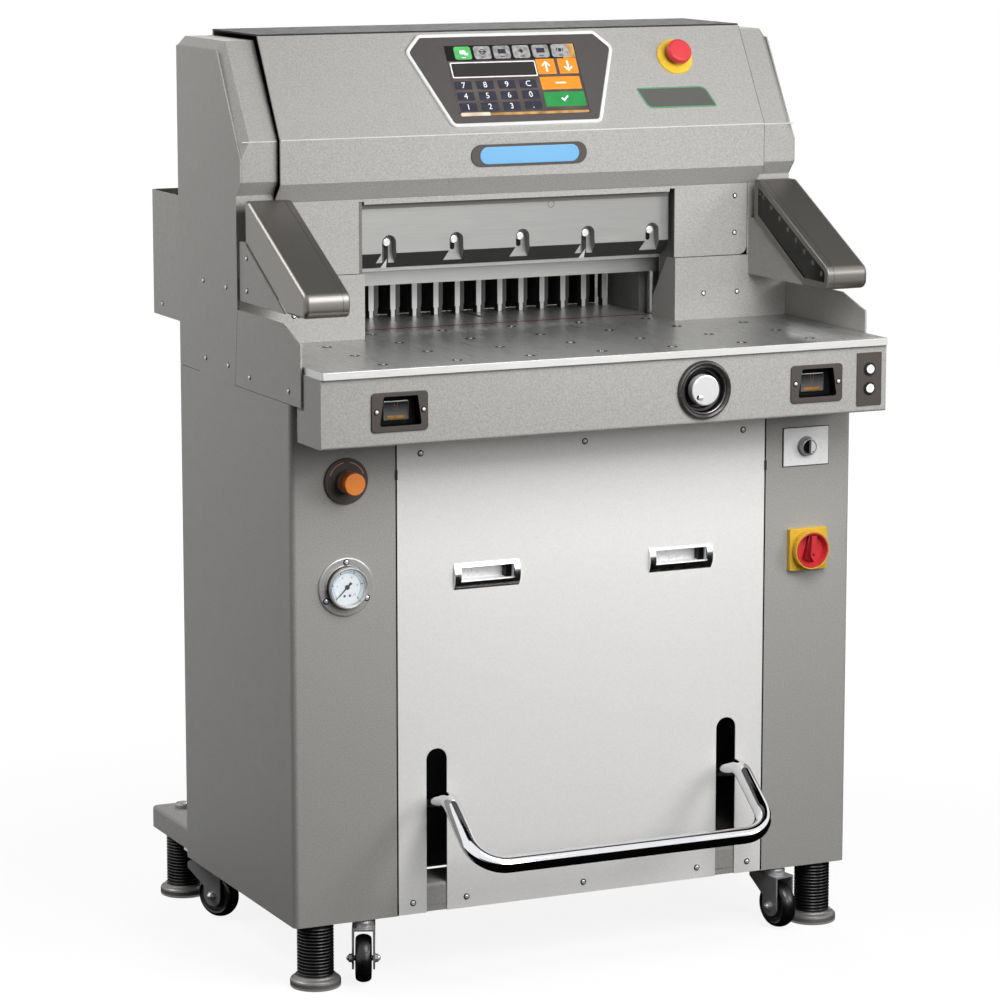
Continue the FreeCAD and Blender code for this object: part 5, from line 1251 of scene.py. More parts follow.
@dataclass
class Cabinet:
    """Sheet-metal cabinet with its panel, covers, screws and pull handles."""

    side: float = 464.3
    wing: float = 460.3
    face: float = -159
    handle_reach: float = 161.5
    handle_high: float = 604.25
    handle_half: float = 43.5
    barrel_half: float = 19.75
    bulge: float = 6.5
    gap: float = 2.4

    def build(self) -> None:
        """Dress the covers and set their screws."""
        dress(
            GREY_COAT, "side_covers", "rear_cover", "rear_guard", "wing_plates", "face_plate",
            "throat_covers", "base_frame", "front_beam", "arm_brackets",
        )
        dress(LIGHT_COAT, "front_panel")
        self.screws()
        self.handles()
        self.gaps()

    def screws(self) -> None:
        """Button-head screws with dark washers on every cover."""
        panel = [(step * 267.6, 793) for step in (-1, 0, 1)]
        panel += [(step, 115) for step in (-282.2, -194.7, 0, 194.7, 282.2)]
        points = [(PANEL_MIDDLE + step, COLUMN_FRONT, high) for step, high in panel]
        fasten("panel", Screw.PANEL, faced(points, FRONT))
        fronts = ((368.5, 1128), (368.5, 1070.5), (315, 977.5), (374, 977.5))
        sides = ((-19.1, 1021), (-114.9, 1021), (-25.5, 904), (-120.5, 904),
                 (-207.9, 897), (-361.9, 897))
        small: Places = []
        for sign, out in ((-1, LEFT), (1, RIGHT)):
            small += faced([(sign * across, self.face, high) for across, high in fronts], FRONT)
            small += faced([(sign * self.side, back, high) for back, high in sides], out)
            small += faced([(sign * self.wing, -190.5, high) for high in (1071, 1023)], out)
            small += faced([(sign * 350, 480, 925)], out)
            small += faced([(sign * 452, -374, 1005)], (0, 0, -1))
        fasten("cover", Screw.SMALL, small)

    def handles(self) -> None:
        """Pull handles: a chrome barrel lying across, open in front of a pressed cup."""
        form = Form()
        tall, wide = self.barrel_half, self.handle_half
        wall = ((0, 1), (-0.9, 1), (-0.9, -19.6), (2, -19.6), (2, -19), (0.6, -18.2))
        for sign in (-1, 1):
            middle = PANEL_MIDDLE + sign * self.handle_reach
            for side in (-1, 1):
                end = spot(middle + side * wide, COLUMN_FRONT, self.handle_high, out=(side, 0, 0))
                form.slab(end, self.barrel(-tall, tall, -side), -0.1, 10, CAST_CHROME, 0.8)
            bar = spot(middle, COLUMN_FRONT, self.handle_high, out=RIGHT)
            for low, high in ((-tall, -7.75), (13.75, tall)):
                form.slab(bar, self.barrel(low, high, -1), -wide, wide, CAST_CHROME)
            cup = spot(middle, COLUMN_FRONT, self.handle_high + 3)
            opening = rounded(wide, 10.75, 1.6, 3)
            form.moulding(cup, opening, wall, CUP_WHITE_REFLECTION)
            form.slab(cup, inset(opening, 1.4), -19.8, -19, CUP_WHITE_REFLECTION)
            # Black block of painted shade at the right end of the cup
            stop = moved(cup, 38.6)
            form.slab(stop, rounded(4.6, 10.5, 1.2), -18.9, -3, BLACKENED_AND_SHADE, 3)
        form.piece("handle_frames", "machine", ["pull_handles"])

    def barrel(self, low: float, high: float, way: int) -> list[Point]:
        """Section of the handle's barrel between two heights.

        Args:
            low: The lower height from the barrel's middle.
            high: The upper height.
            way: The sign of the section's first axis in front of the panel.

        Returns:
            The section's corners: how far in front, and how high.
        """
        radius = (self.barrel_half**2 + self.bulge**2) / (2 * self.bulge)
        heights = [low + (high - low) * step / 16 for step in range(17)]
        fronts = [math.sqrt(radius**2 - rise**2) - radius + self.bulge for rise in heights]
        arc = [(way * front, rise) for front, rise in zip(fronts, heights)]
        return [*arc, (-way * 1.4, high), (-way * 1.4, low)]

    def gaps(self) -> None:
        """Dark joints beside the panel with its two catches, and the strip behind its slots."""
        form = Form()
        for across, catch in ((-298.6, 763.4), (314.6, 735.8)):
            place = spot(across, COLUMN_FRONT, 460)
            form.slab(place, rounded(self.gap / 2, 361, 0.4, 1), -1, 0.15, DARK_GAP)
            place = spot(across, COLUMN_FRONT, catch)
            form.slab(place, rounded(1.9, 7.5, 0.8, 2), -0.5, 1.6, BLACK_PLASTIC, 0.4)
        form.piece("panel_joints", "machine")
        strip = Form()
        place = spot(PANEL_MIDDLE, -363, 103.4)
        strip.slab(place, rounded(304, 4.9, 0.6, 1), -2, 0, GREY_COAT, 0.3)
        strip.piece("plinth_strip", "machine")


@dataclass
class Feet:
    """Four levelling feet: round pad, ringed column and dome nut."""

    across: float = 421
    backs: tuple[float, float] = (-338.5, 222.5)
    necks: tuple[float, float] = (97.1, 107.2)
    pitch: float = 5
    pad_high: float = 18
    nut_low: float = 138.5

    def build(self) -> None:
        """Make each foot with its rings."""
        form = Form()
        pad = ((0, 0), (37, 0), (38, 0.9), (38, 9.5), (37.4, 11.6), (35.6, 13.4), (31.6, 15.6),
               (30.8, 16.6), (30.4, self.pad_high), (0, self.pad_high))
        nut = ((0, self.nut_low), (8, self.nut_low), (8, 141.5), (13, 141.5), (13, 146.6),
               (11.4, 149.2), (7, 150.5), (0, 150.5))
        for back, neck in zip(self.backs, self.necks):
            for sign in (-1, 1):
                place = spot(sign * self.across, back, 0, out=UP, up=(0, 1, 0))
                form.lathe(place, pad, PAD_STEEL, 96)
                form.lathe(place, self.column(neck), RING_PLASTIC, 72)
                form.lathe(place, nut, ZINC, 32)
        form.piece("feet", "machine", ["levelling_feet"])

    def column(self, neck: float) -> list[Point]:
        """Profile of the column with a groove between its rings.

        Args:
            neck: Height where the rings end under the cabinet.

        Returns:
            Radius and height of each corner.
        """
        ring = ((25.2, 0.2), (26.8, 0.7), (27.5, 1.9), (27.5, 3), (26.8, 4.1), (25.2, 4.6))
        profile: list[Point] = [(0, self.pad_high)]
        high = self.pad_high
        while high + self.pitch < neck:
            profile += [(radius, high + rise) for radius, rise in ring]
            high += self.pitch
        return profile + [(25.2, neck), (20, neck), (20, self.nut_low), (0, self.nut_low)]


@dataclass
class Casters:
    """Four swivel casters with pressed forks, dome nuts and rubber-tyred wheels.

    Each spot is a label, X, Y and the fork's turn in degrees.
    """

    spots: tuple[tuple[str, float, float, float], ...] = (
        ("front_left", -348, -349.5, -24),
        ("front_right", 348, -349.5, 10),
        ("rear_left", -425, 72.5, 28),
        ("rear_right", 425, 72.5, -15),
    )
    trail: float = 9
    axle: float = 38
    cheek: float = 17

    def build(self) -> None:
        """Dress the forks and make the nuts and wheels."""
        dress(ZINC_BRIGHT, "caster_races")
        for label, across, back, degrees in self.spots:
            fork, rolling = "caster_fork_" + label, "caster_wheel_" + label
            dress(ZINC, fork)
            turn = math.radians(degrees)
            axis = Vector((math.cos(turn), math.sin(turn), 0))
            middle = (across + self.trail * math.sin(turn), back - self.trail * math.cos(turn))
            nuts = Form()
            for sign in (-1, 1):
                place = moved(spot(*middle, self.axle, out=sign * axis), out=self.cheek)
                nuts.lathe(place, disc(7.6, -0.4, 0.9), ZINC, 32)
                hexagon = ((0, 0.8), (6.6, 0.8), (6.6, 4.4), (5.4, 5.4), (0, 5.4))
                nuts.lathe(place, hexagon, ZINC, 6)
                dome = ((0, 5.2), (4.2, 5.2), (3.9, 6.8), (2.4, 8.2), (0, 8.8))
                nuts.lathe(place, dome, POLISH_AND_HIGHLIGHT_STEEL, 24)
            nuts.piece("nuts_" + label, fork)
            wheel = Form()
            place = spot(*middle, self.axle, out=axis)
            wheel.lathe(place, self.tyre(), TYRE, 96)
            hub = [(4, -10.6), (9, -10.6), (10, -7), (21, -6.2), (23, -10.2), (26.6, -10.4)]
            hub += [(radius, -high) for radius, high in reversed(hub)]
            wheel.lathe(place, hub, HUB_PLASTIC, 64)
            wheel.piece("wheel_" + label, rolling, [rolling])

    def tyre(self) -> list[Point]:
        """Profile of the tyre, with a round tread.

        Returns:
            Radius and height of each corner.
        """
        turns = [math.radians(90 - step * 180 / 16) for step in range(17)]
        tread = [(29 + 7 * math.cos(turn), -12 * math.sin(turn)) for turn in turns]
        return [(26.5, -11), *tread, (26.5, 11)]


@dataclass
class Table:
    """Ground table with its air balls and bright front edge.

    A row says how many balls it has at each side of its middle one.
    """

    top: float = 936.9
    half: float = 460
    front: float = -479.4
    ball_pitch: float = 116.5
    ball_row: float = 105
    ball_first_row: float = -431.5
    rows: tuple[int, ...] = (3, 3, 3, 2)

    def build(self) -> None:
        """Dress the table and set its balls and its edge."""
        dress(GROUND_IRON, "table_plate")
        dress(STICK_RED, "cutting_stick")
        places: Places = []
        for row, reach in enumerate(self.rows):
            back = self.ball_first_row + row * self.ball_row
            for column in range(-reach, reach + 1):
                places.append(((THROAT_MIDDLE + column * self.ball_pitch, back, self.top), UP))
        socket = ((0, -1), (8.2, -1), (8.2, 0.2), (7.6, 0.45), (5.6, 0.45), (4.9, -0.5),
                  (0, -0.5))
        ball = ((0, -0.9), (3.9, -0.9), (3.7, 0), (3, 0.9), (1.8, 1.4), (0, 1.6))
        Scatter("ball_sockets", BLACKENED_AND_SHADE, socket, places, 32).build("steel", ["table_balls"])
        Scatter("air_balls", BALL_STEEL, ball, places, 24).build("steel", ["table_balls"])
        form = Form()
        # Polished strip along the table's front, near white as a painted reflection
        place = spot(0, self.front, self.top - 5.5)
        form.slab(place, rounded(self.half - 1, 5.2, 0.8, 3), -0.6, 0.4, EDGE_REFLECTION_WHITE, 0.3)
        form.piece("table_edge", "machine")


@dataclass
class Throat:
    """Knife, clamp and back gauge, with the castings that carry them.

    Slits are the numbers of the bolts whose notch shows a polished face behind it.
    """

    half: float = 259.4
    bolts_across: tuple[float, ...] = tuple(11.4 + 111.2 * number for number in range(-2, 3))
    bolt_high: float = 1078
    slits: tuple[int, ...] = (0, 3)
    carrier_front: float = -139.5
    carrier_edge: float = 1062
    bevel_long: float = 33.9
    gauge_left: float = -234
    gauge_right: float = 256
    fingers: int = 14
    finger_first: float = -229.5
    finger_pitch: float = 37
    finger_front: float = 62.5

    def build(self) -> None:
        """Dress the cutting parts, add the knife's painted highlight and the carrier's painted
        shade.
        """
        dress(CARRIER_STEEL, "knife_carrier")
        dress(GROUND_STEEL, "knife_blade", "knife_pull_rods", "clamp_pull_rods", "gauge_screw")
        dress(CLAMP_STEEL, "clamp_beam")
        dress(COMB_SHADE_GREY, "back_gauge")
        dress(CASTING_ENAMEL, "frame_castings", "hydraulic_unit")
        self.bevel()
        self.bolts()
        self.edge()
        self.backing()

    def bevel(self) -> None:
        """Bevel under the carrier in painted shade, open at each notch, and the light in the slits.
        """
        place = spot(0, self.carrier_front, self.carrier_edge, out=(0, -1, -1), up=(0, -1, 1))
        left, right = THROAT_MIDDLE - self.half, THROAT_MIDDLE + self.half
        outline: list[Point] = [(left, 0)]
        for bolt in self.bolts_across:
            outline += [(bolt - 12.3, 0), (bolt - 15.4, -22.6)]
            outline += [(bolt + 15.4, -22.6), (bolt + 12.3, 0)]
        outline += [(right, 0), (right, -self.bevel_long), (left, -self.bevel_long)]
        form = Form()
        form.slab(place, outline, -0.1, 0.3, DARK_AND_SHADE_STEEL)
        for number in self.slits:
            bolt = self.bolts_across[number]
            foot = [(bolt + step, -self.bevel_long) for step in (-4.6, 4.6)]
            form.slab(place, [*foot, (bolt, -12)], 0, 0.6, SLIT_WHITE)
        form.piece("carrier_bevel", "knife_carriage")

    def bolts(self) -> None:
        """Bright bolt heads, the keyholes under them and a ring scribed on the carrier."""
        seat = self.carrier_front + 16
        form = Form()
        head = ((0, -1), (6, -1), (6, 6.6), (5.4, 7.6), (4.2, 8), (0, 8))
        for number, bolt in enumerate(self.bolts_across):
            form.lathe(spot(bolt, seat, self.bolt_high), head, BOLT_STEEL, 48)
            if number not in self.slits:
                place = spot(bolt, seat, self.bolt_high - 9.5)
                form.slab(place, rounded(3.6, 7, 3.5), 0, 0.5, BLACKENED_AND_SHADE)
        mark = spot(59.4, self.carrier_front, 1125.6)
        form.lathe(mark, tube(4.9, 5.6, -0.1, 0.12), DARK_AND_SHADE_STEEL, 48)
        form.piece("bolt_heads", "knife_carriage", ["knife_bolts"])

    def edge(self) -> None:
        """Painted highlight on the knife's ground edge, and painted shadow under the lip above it.
        """
        form = Form()
        # White line of painted highlight along the knife's edge
        place = spot(THROAT_MIDDLE, -77.5, 1032.6)
        form.slab(place, rounded(self.half + 20, 4.4, 0.3, 1), -0.3, 0.5, KNIFE_HIGHLIGHT, 0.2)
        form.piece("knife_edge", "knife_carriage")
        form = Form()
        # Dark strip of painted shadow under the window's upper lip
        place = spot(THROAT_MIDDLE, self.carrier_front - 0.8, 1134.5)
        form.slab(place, rounded(self.half, 4.4, 4.3), 0, 1.2, JOINT_AND_SHADOW_GREY, 0.4)
        form.piece("throat_wiper", "machine")

    def backing(self) -> None:
        """Fingers' fronts in painted light, and a black strip of painted shade behind the combs."""
        form = Form()
        for number in range(self.fingers):
            across = self.finger_first + self.finger_pitch * number
            for high, half_wide, half_tall in ((979.5, 4.3, 30.4), (943.2, 3, 5.9)):
                place = spot(across, self.finger_front, high)
                form.slab(place, rounded(half_wide, half_tall, 0.3, 1), -0.2, 0.3, FINGER_FRONT_LIGHT)
        # Black strip of painted shade behind the combs
        place = spot((self.gauge_left + self.gauge_right) / 2, 104.6, 970.6)
        half = (self.gauge_right - self.gauge_left) / 2 - 1
        form.slab(place, rounded(half, 33.2, 1, 2), 0, 1, DARK_GAP, 0.2)
        form.piece("gauge_backing", "back_gauge")


@dataclass
class Beam:
    """Beam under the table's edge with palm switches, handwheel and buttons.

    The handwheel has X and Z; each button has a label and Z.
    """

    palm_across: float = 339.9
    palm_high: float = 874.5
    wheel: Point = (149.8, 876)
    buttons_across: float = 430.5
    buttons_high: tuple[tuple[str, float], ...] = (("upper", 891.2), ("lower", 862))

    def build(self) -> None:
        """Build the operating parts."""
        self.palms()
        self.handwheel()
        self.buttons()

    def palms(self) -> None:
        """Sunk palm switches: plate, black well and a smoked pane with its leads."""
        outline = rounded(44, 28.5, 6)
        well = softened(((-25.8, 23.4, 3), (-32.7, -20.9, 4), (34.8, -20.9, 4), (28.4, 23.4, 3)))
        wall = ((0, -0.4), (0, -24), (-1.6, -24), (-1.6, -0.4))
        plates = Form()
        for side, sign in (("left", -1), ("right", 1)):
            place = spot(sign * self.palm_across, BEAM_FRONT, self.palm_high)
            plates.slab(place, outline, -1, 2.5, PLATE_COAT, 0.8, [well], 3)
            plates.moulding(place, well, wall, GLOSS_BLACK)
            self.paddle(side, sign * self.palm_across)
        plates.piece("palm_plates", "machine", ["palm_switch_housings"])
        reach = ((sign * self.palm_across + step) for sign in (-1, 1) for step in (-36.5, 36.5))
        fasten("palm", Screw.SMALL, faced([(across, -476.7, 875.7) for across in reach], FRONT))

    def paddle(self, side: str, across: float) -> None:
        """Smoked pane of a palm switch in its bright rim under a painted highlight, on a dark
        block.

        Args:
            side: The side that its names say.
            across: X of its middle.
        """
        paddle = Form()
        place = spot(across, -452.5, self.palm_high)
        paddle.slab(place, rounded(31.8, 20, 2), 0, 8, DARK_GAP, 0.6)
        place = spot(across, -460.5, self.palm_high)
        pane = rounded(20, 14.2, 2)
        paddle.slab(place, pane, 0, 1, SMOKED_GLASS_SHADED)
        rim = ((0, 0), (0, 1.1), (0.5, 1.5), (1.2, 1.5), (1.5, 1.1), (1.5, 0))
        paddle.moulding(place, pane, rim, RIM_STEEL)
        # Thin bright strip along the pane's top edge: a painted highlight
        lit = moved(place, 0, 13.2)
        paddle.slab(lit, rounded(18.4, 0.7, 0.5, 2), 1, 1.8, POLISH_AND_HIGHLIGHT_STEEL, 0.2)
        strip = moved(place, -0.5, -9.6)
        paddle.slab(strip, rounded(13.6, 2.1, 0.5), 0.8, 1.5, AMBER, 0.2)
        line = ((2.6, 12), (3.1, 12), (1.1, -1), (3.2, -8), (2.7, -8), (0.6, -1))
        for lean in (-1, 1):
            lead = [(lean * x, y) for x, y in line]
            paddle.slab(place, lead, 0.9, 1.2, LEAD_BROWN)
        node = "palm_paddle_" + side
        paddle.piece("palm_pane_" + side, node, [node])

    def handwheel(self) -> None:
        """Dark ring, dark nickel bowl and the turned disc of the handwheel."""
        across, high = self.wheel
        place = spot(across, BEAM_FRONT, high)
        form = Form()
        ring = ((36.2, -2), (44, -2), (44, 2.6), (43.4, 4.6), (42, 6), (40.2, 6.4), (38.6, 5.8),
                (37.2, 4.4), (36.4, 2))
        form.lathe(place, ring, GREY_PLASTIC, 128)
        form.piece("handwheel_ring", "machine", ["handwheel_bezel"])
        bowl = Form()
        lip = ((36.3, 2.6), (35.2, 3.4), (34, 2.6), (33.8, 0), (34.4, -3), (37.4, -3),
               (37.4, 1))
        bowl.lathe(place, lip, RIM_STEEL, 128)
        black = ((34.2, -2), (32, -7.4), (29.6, -7.8), (29.6, -9), (33, -9.4), (36.2, -3))
        bowl.lathe(place, black, RING_PLASTIC, 128)
        cup = ((30, -7.6), (28.6, -8.4), (27.2, -18), (8.4, -19.5), (8.4, -21.5),
               (29.2, -21.5), (31, -9))
        bowl.lathe(place, cup, DARK_NICKEL, 128)
        bowl.piece("handwheel_bowl", "machine")
        knob = Form()
        face = ((0, -34), (8, -34), (8, -8.4), (20.4, -8.4), (22.3, -7.4), (22.8, -6), (22.8, 5.2),
                (22.2, 6.5), (21, 7), (0, 7))
        knob.lathe(place, face, DISC_STEEL, 128)
        dimple = moved(place, *polar(13.5, math.radians(232)), 7)
        knob.lathe(moved(dimple, -3.4, 0.4), disc(3.6, -0.2, 0.2), DARK_GAP, 40)
        dome = ((0, -0.2), (4.3, -0.2), (3.8, 0.7), (2.2, 1.4), (0, 1.6))
        knob.lathe(dimple, dome, POLISH_AND_HIGHLIGHT_STEEL, 40)
        knob.piece("handwheel_disc", "handwheel", ["handwheel"])

    def buttons(self) -> None:
        """Two white push buttons, each in a dark ring."""
        side = ((0, 0), (6.9, 0), (7.3, 0.6), (7.3, 14.6), (7, 15), (0, 15))
        cap = ((0, 14.8), (6.5, 14.8), (6.8, 15.2), (6.4, 15.8), (5.6, 16), (0, 16))
        collar = ((7.4, 1.4), (9.8, 1.4), (9.8, 3.6), (9.2, 4.6), (7.9, 4.6), (7.4, 3.8))
        collars = Form()
        for label, high in self.buttons_high:
            form = Form()
            place = spot(self.buttons_across, -464.2, high)
            form.lathe(place, side, BLACK_PLASTIC, 64)
            form.lathe(place, cap, BUTTON_WHITE, 64)
            node = "push_button_" + label
            form.piece("button_" + label, node, [node])
            place = spot(self.buttons_across, BEAM_FRONT, high)
            collars.lathe(place, collar, BLACK_PLASTIC, 64)
        collars.piece("button_collars", "machine")


@dataclass
class Controls:
    """Switches and air controls on the columns, and their plates.

    Each control has X and Z. The gauge's scale runs clockwise, in degrees from its right.
    """

    selector_at: Point = (384.3, 760.8)
    isolator_at: Point = (387, 601.5)
    regulator_at: Point = (-378.6, 760.4)
    gauge_at: Point = (-379.5, 604)
    scale_start: float = 225
    scale_swing: float = 270

    def build(self) -> None:
        """Build each control."""
        self.plates()
        self.selector()
        self.isolator()
        self.regulator()
        self.gauge()
        self.needle()
        self.flange_screws()

    def on_column(self, at: Point) -> Matrix:
        """Axes on the face of a column.

        Args:
            at: X and Z of the point.

        Returns:
            The matrix from local to machine millimetres.
        """
        return spot(at[0], COLUMN_FRONT, at[1])

    def plates(self) -> None:
        """Plates under the buttons, the selector, the isolator and the stop button."""
        form = Form()
        place = spot(430.5, BEAM_FRONT, 875.85)
        form.slab(place, rounded(21.2, 40.35, 2), -1, 2, PLATE_COAT, 0.5)
        place = self.on_column(self.selector_at)
        form.slab(place, rounded(40.2, 30.4, 1), -0.4, 1.6, BLACK_PLASTIC, 0.4)
        form.slab(place, rounded(38.9, 29.1, 0.8), 1.4, 2.5, WHITE_SHEET, 0.3)
        ring = ((14, 2.3), (15.6, 2.3), (15.6, 3.6), (15, 4.2), (14, 4.2))
        form.lathe(place, ring, POLISHED_STEEL)
        place = self.on_column(self.isolator_at)
        form.slab(place, rounded(32.5, 32.5, 1.6), -0.4, 9, YELLOW_DEEP, 0.9)
        ring = ((9.6, -1), (30, -1), (30, 1.8), (29, 3), (11, 3), (9.6, 1.8))
        form.lathe(on_slope(*STOP_AT), ring, YELLOW_GLOSS, 96)
        form.piece("control_plates", "machine", ["switch_plates"])

    def selector(self) -> None:
        """Silver ring round a dark cup, with a bright bar at the right of its middle."""
        place = self.on_column(self.selector_at)
        form = Form()
        ring = ((0, -10), (12, -10), (12, 3), (13.8, 3), (13.8, 9), (13.4, 10.6),
                (12.9, 12.8), (12.3, 13.8), (11.4, 14.2), (10.6, 13.6), (10.3, 9), (0, 9))
        form.lathe(place, ring, POLISHED_STEEL, 96)
        form.lathe(place, disc(10.2, 8.8, 9.4), DARK_GAP, 64)
        right = [polar(9.9, math.radians(-76 + step * 152 / 16)) for step in range(17)]
        form.slab(place, [(1.6, -9.6), *right, (1.6, 9.6)], 9, 15.6, BAR_STEEL, 0.6)
        form.lathe(moved(place, 4.6, -6.8, 15.5), disc(1, 0, 0.3), INK, 20)
        form.piece("selector_ring", "selector_knob", ["selector_knob"])

    def isolator(self) -> None:
        """Red dish in a yellow rim, with a wedge across it and a hole in the wedge."""
        place = self.on_column(self.isolator_at)
        form = Form()
        skirt = ((12, -10), (12, 9.2), (26.4, 9.2), (28.6, 12), (29.6, 19), (29.6, 22),
                 (29, 23), (28, 23), (27.4, 22.4), (27.4, 12), (10, 12),
                 (10, -10))
        form.lathe(place, skirt, YELLOW_DEEP, 128)
        dish = ((0, 10), (27.3, 10), (27.3, 22.4), (26.6, 23.2), (25.4, 23.2), (24.8, 22.4),
                (22, 13.2), (0, 13.2))
        form.lathe(place, dish, RED_GLOSS, 128)
        # The wedge's upright sides are drawn deeper red as painted shade
        wedge = [(-4.6, 23.2), (7.8, 22.6), (5.8, 2), (3, -19.5), (-13.5, -13), (-8.6, 4)]
        form.slab(place, wedge, 13, 19.4, RED_SHADED_SIDE, 1.2)
        wedge = [(-1.2, 22.6), (7.4, 22.2), (5.4, 2), (2.6, -18.8), (-3.4, -9.6), (-2.6, 2)]
        form.slab(place, wedge, 19, 22.8, RED_GLOSS, 0.4)
        form.lathe(moved(place, 1.6, -7, 22.7), disc(1.9, 0, 0.25), INK, 28)
        form.piece("isolator_dish", "isolator_knob", ["isolator_knob"])

    def regulator(self) -> None:
        """Orange regulator knob with its collar."""
        place = self.on_column(self.regulator_at)
        form = Form()
        collar = ((0, -22), (15, -22), (15, 5.2), (17, 5.2), (17, 14.2), (16.4, 15),
                  (0, 15))
        side = ((0, 14.8), (15.8, 14.8), (16.6, 15.6), (16.6, 34.8), (15.6, 36), (0, 36))
        face = ((0, 35.6), (15.2, 35.6), (15.8, 36.2), (15.6, 36.8), (14.8, 37), (0, 37))
        # The knob's side is drawn deeper orange as painted shade, its face in the lit orange
        finishes = (COLLAR_GREY, ORANGE_SHADED_SIDE, ORANGE_SATIN)
        for profile, finish in zip((collar, side, face), finishes):
            form.lathe(place, profile, finish, 96)
        form.piece("regulator_cap", "regulator_knob", ["regulator_knob"])

    def gauge(self) -> None:
        """Regulator's disc, and the pressure gauge with its dial."""
        form = Form()
        place = self.on_column(self.regulator_at)
        plate = ((0, -45), (20, -45), (20, -0.5), (34, -0.5), (34, 3.8), (33.2, 4.8), (18, 4.8),
                 (17.2, 4.4), (0, 4.4))
        form.lathe(place, plate, PLATE_COAT, 96)
        for start in (20, 100):
            form.slab(place, arc(28, 1.1, start, start + 60), 4.7, 5, ORANGE_INK)
        gauge = self.on_column(self.gauge_at)
        flange = ((0, -30), (28, -30), (28, -0.4), (43.5, -0.4), (43.5, 1.4), (42.9, 2.6),
                  (41.6, 3), (33.4, 3), (32.4, 2.4), (31.6, 3), (0, 3))
        form.lathe(gauge, flange, FLANGE_STEEL, 128)
        form.lathe(gauge, tube(29, 31.4, 2.9, 11), RING_PLASTIC, 128)
        bezel = ((27.2, 5), (30.4, 10.8), (31.2, 11.2), (31, 13.6), (30.2, 14.8), (28.8, 15),
                 (27.4, 13.8))
        form.lathe(gauge, bezel, FLANGE_STEEL, 128)
        form.lathe(gauge, disc(27.4, 4.6, 5.2), DIAL_WHITE, 96)
        for mark in range(51):
            turn = math.radians(self.scale_start - mark * self.scale_swing / 50)
            tall, wide = (1.6, 0.7) if mark % 10 == 0 else (0.85, 0.16)
            place = moved(gauge @ Matrix.Rotation(turn, 4, "Z"), 25.2 - tall)
            form.slab(place, rounded(tall, wide, 0.1, 1), 5.1, 5.3, INK)
        band = arc(21.6, 1.4, self.scale_start - self.scale_swing, self.scale_start)
        form.slab(gauge, band, 5.1, 5.25, DIAL_BLUE)
        for number in range(0, 11, 2):
            turn = math.radians(self.scale_start - number * self.scale_swing / 10)
            form.lettering(moved(gauge, *polar(16, turn), 5.1), str(number), 5, INK_BLUE)
        for across in (-4.2, 4.2):
            stud = ((0, 0), (1.9, 0), (1.7, 0.5), (0, 0.7))
            form.lathe(moved(gauge, across, -12.6, 5.1), stud, DARK_AND_SHADE_STEEL, 32)
        form.piece("gauge_dial", "machine", ["air_controls"])
        dress(CLEAR_GLASS, "gauge_glass")

    def needle(self) -> None:
        """Black needle, at the start of the scale."""
        form = Form()
        across, high = self.gauge_at
        turned = Matrix.Rotation(math.radians(self.scale_start), 4, "Z")
        place = spot(across, -371.8, high) @ turned
        arm = [(-9, -1.9), (-9, 1.9), (-3, 1.1), (22.5, 0.3), (22.5, -0.3), (-3, -1.1)]
        form.slab(place, arm, -1, 0, INK)
        form.lathe(place, ((0, -1.2), (3.6, -1.2), (3.6, -0.2), (3.2, 0.2), (0, 0.2)), INK, 40)
        form.piece("needle", "gauge_needle", ["gauge_needle"])

    def flange_screws(self) -> None:
        """Three screws round the gauge's flange."""
        across, high = self.gauge_at
        steps = [polar(37, math.radians(degrees)) for degrees in (90, 210, 330)]
        points = [(across + x, COLUMN_FRONT - 3, high + y) for x, y in steps]
        fasten("gauge", Screw.PANEL, faced(points, FRONT))


class Key(Enum):
    """Kinds of key on the display, each with its finish."""

    DARK = KEY_DARK
    ORANGE = KEY_ORANGE
    GREEN = KEY_GREEN
    LIME = KEY_LIME
    SILVER = KEY_SILVER


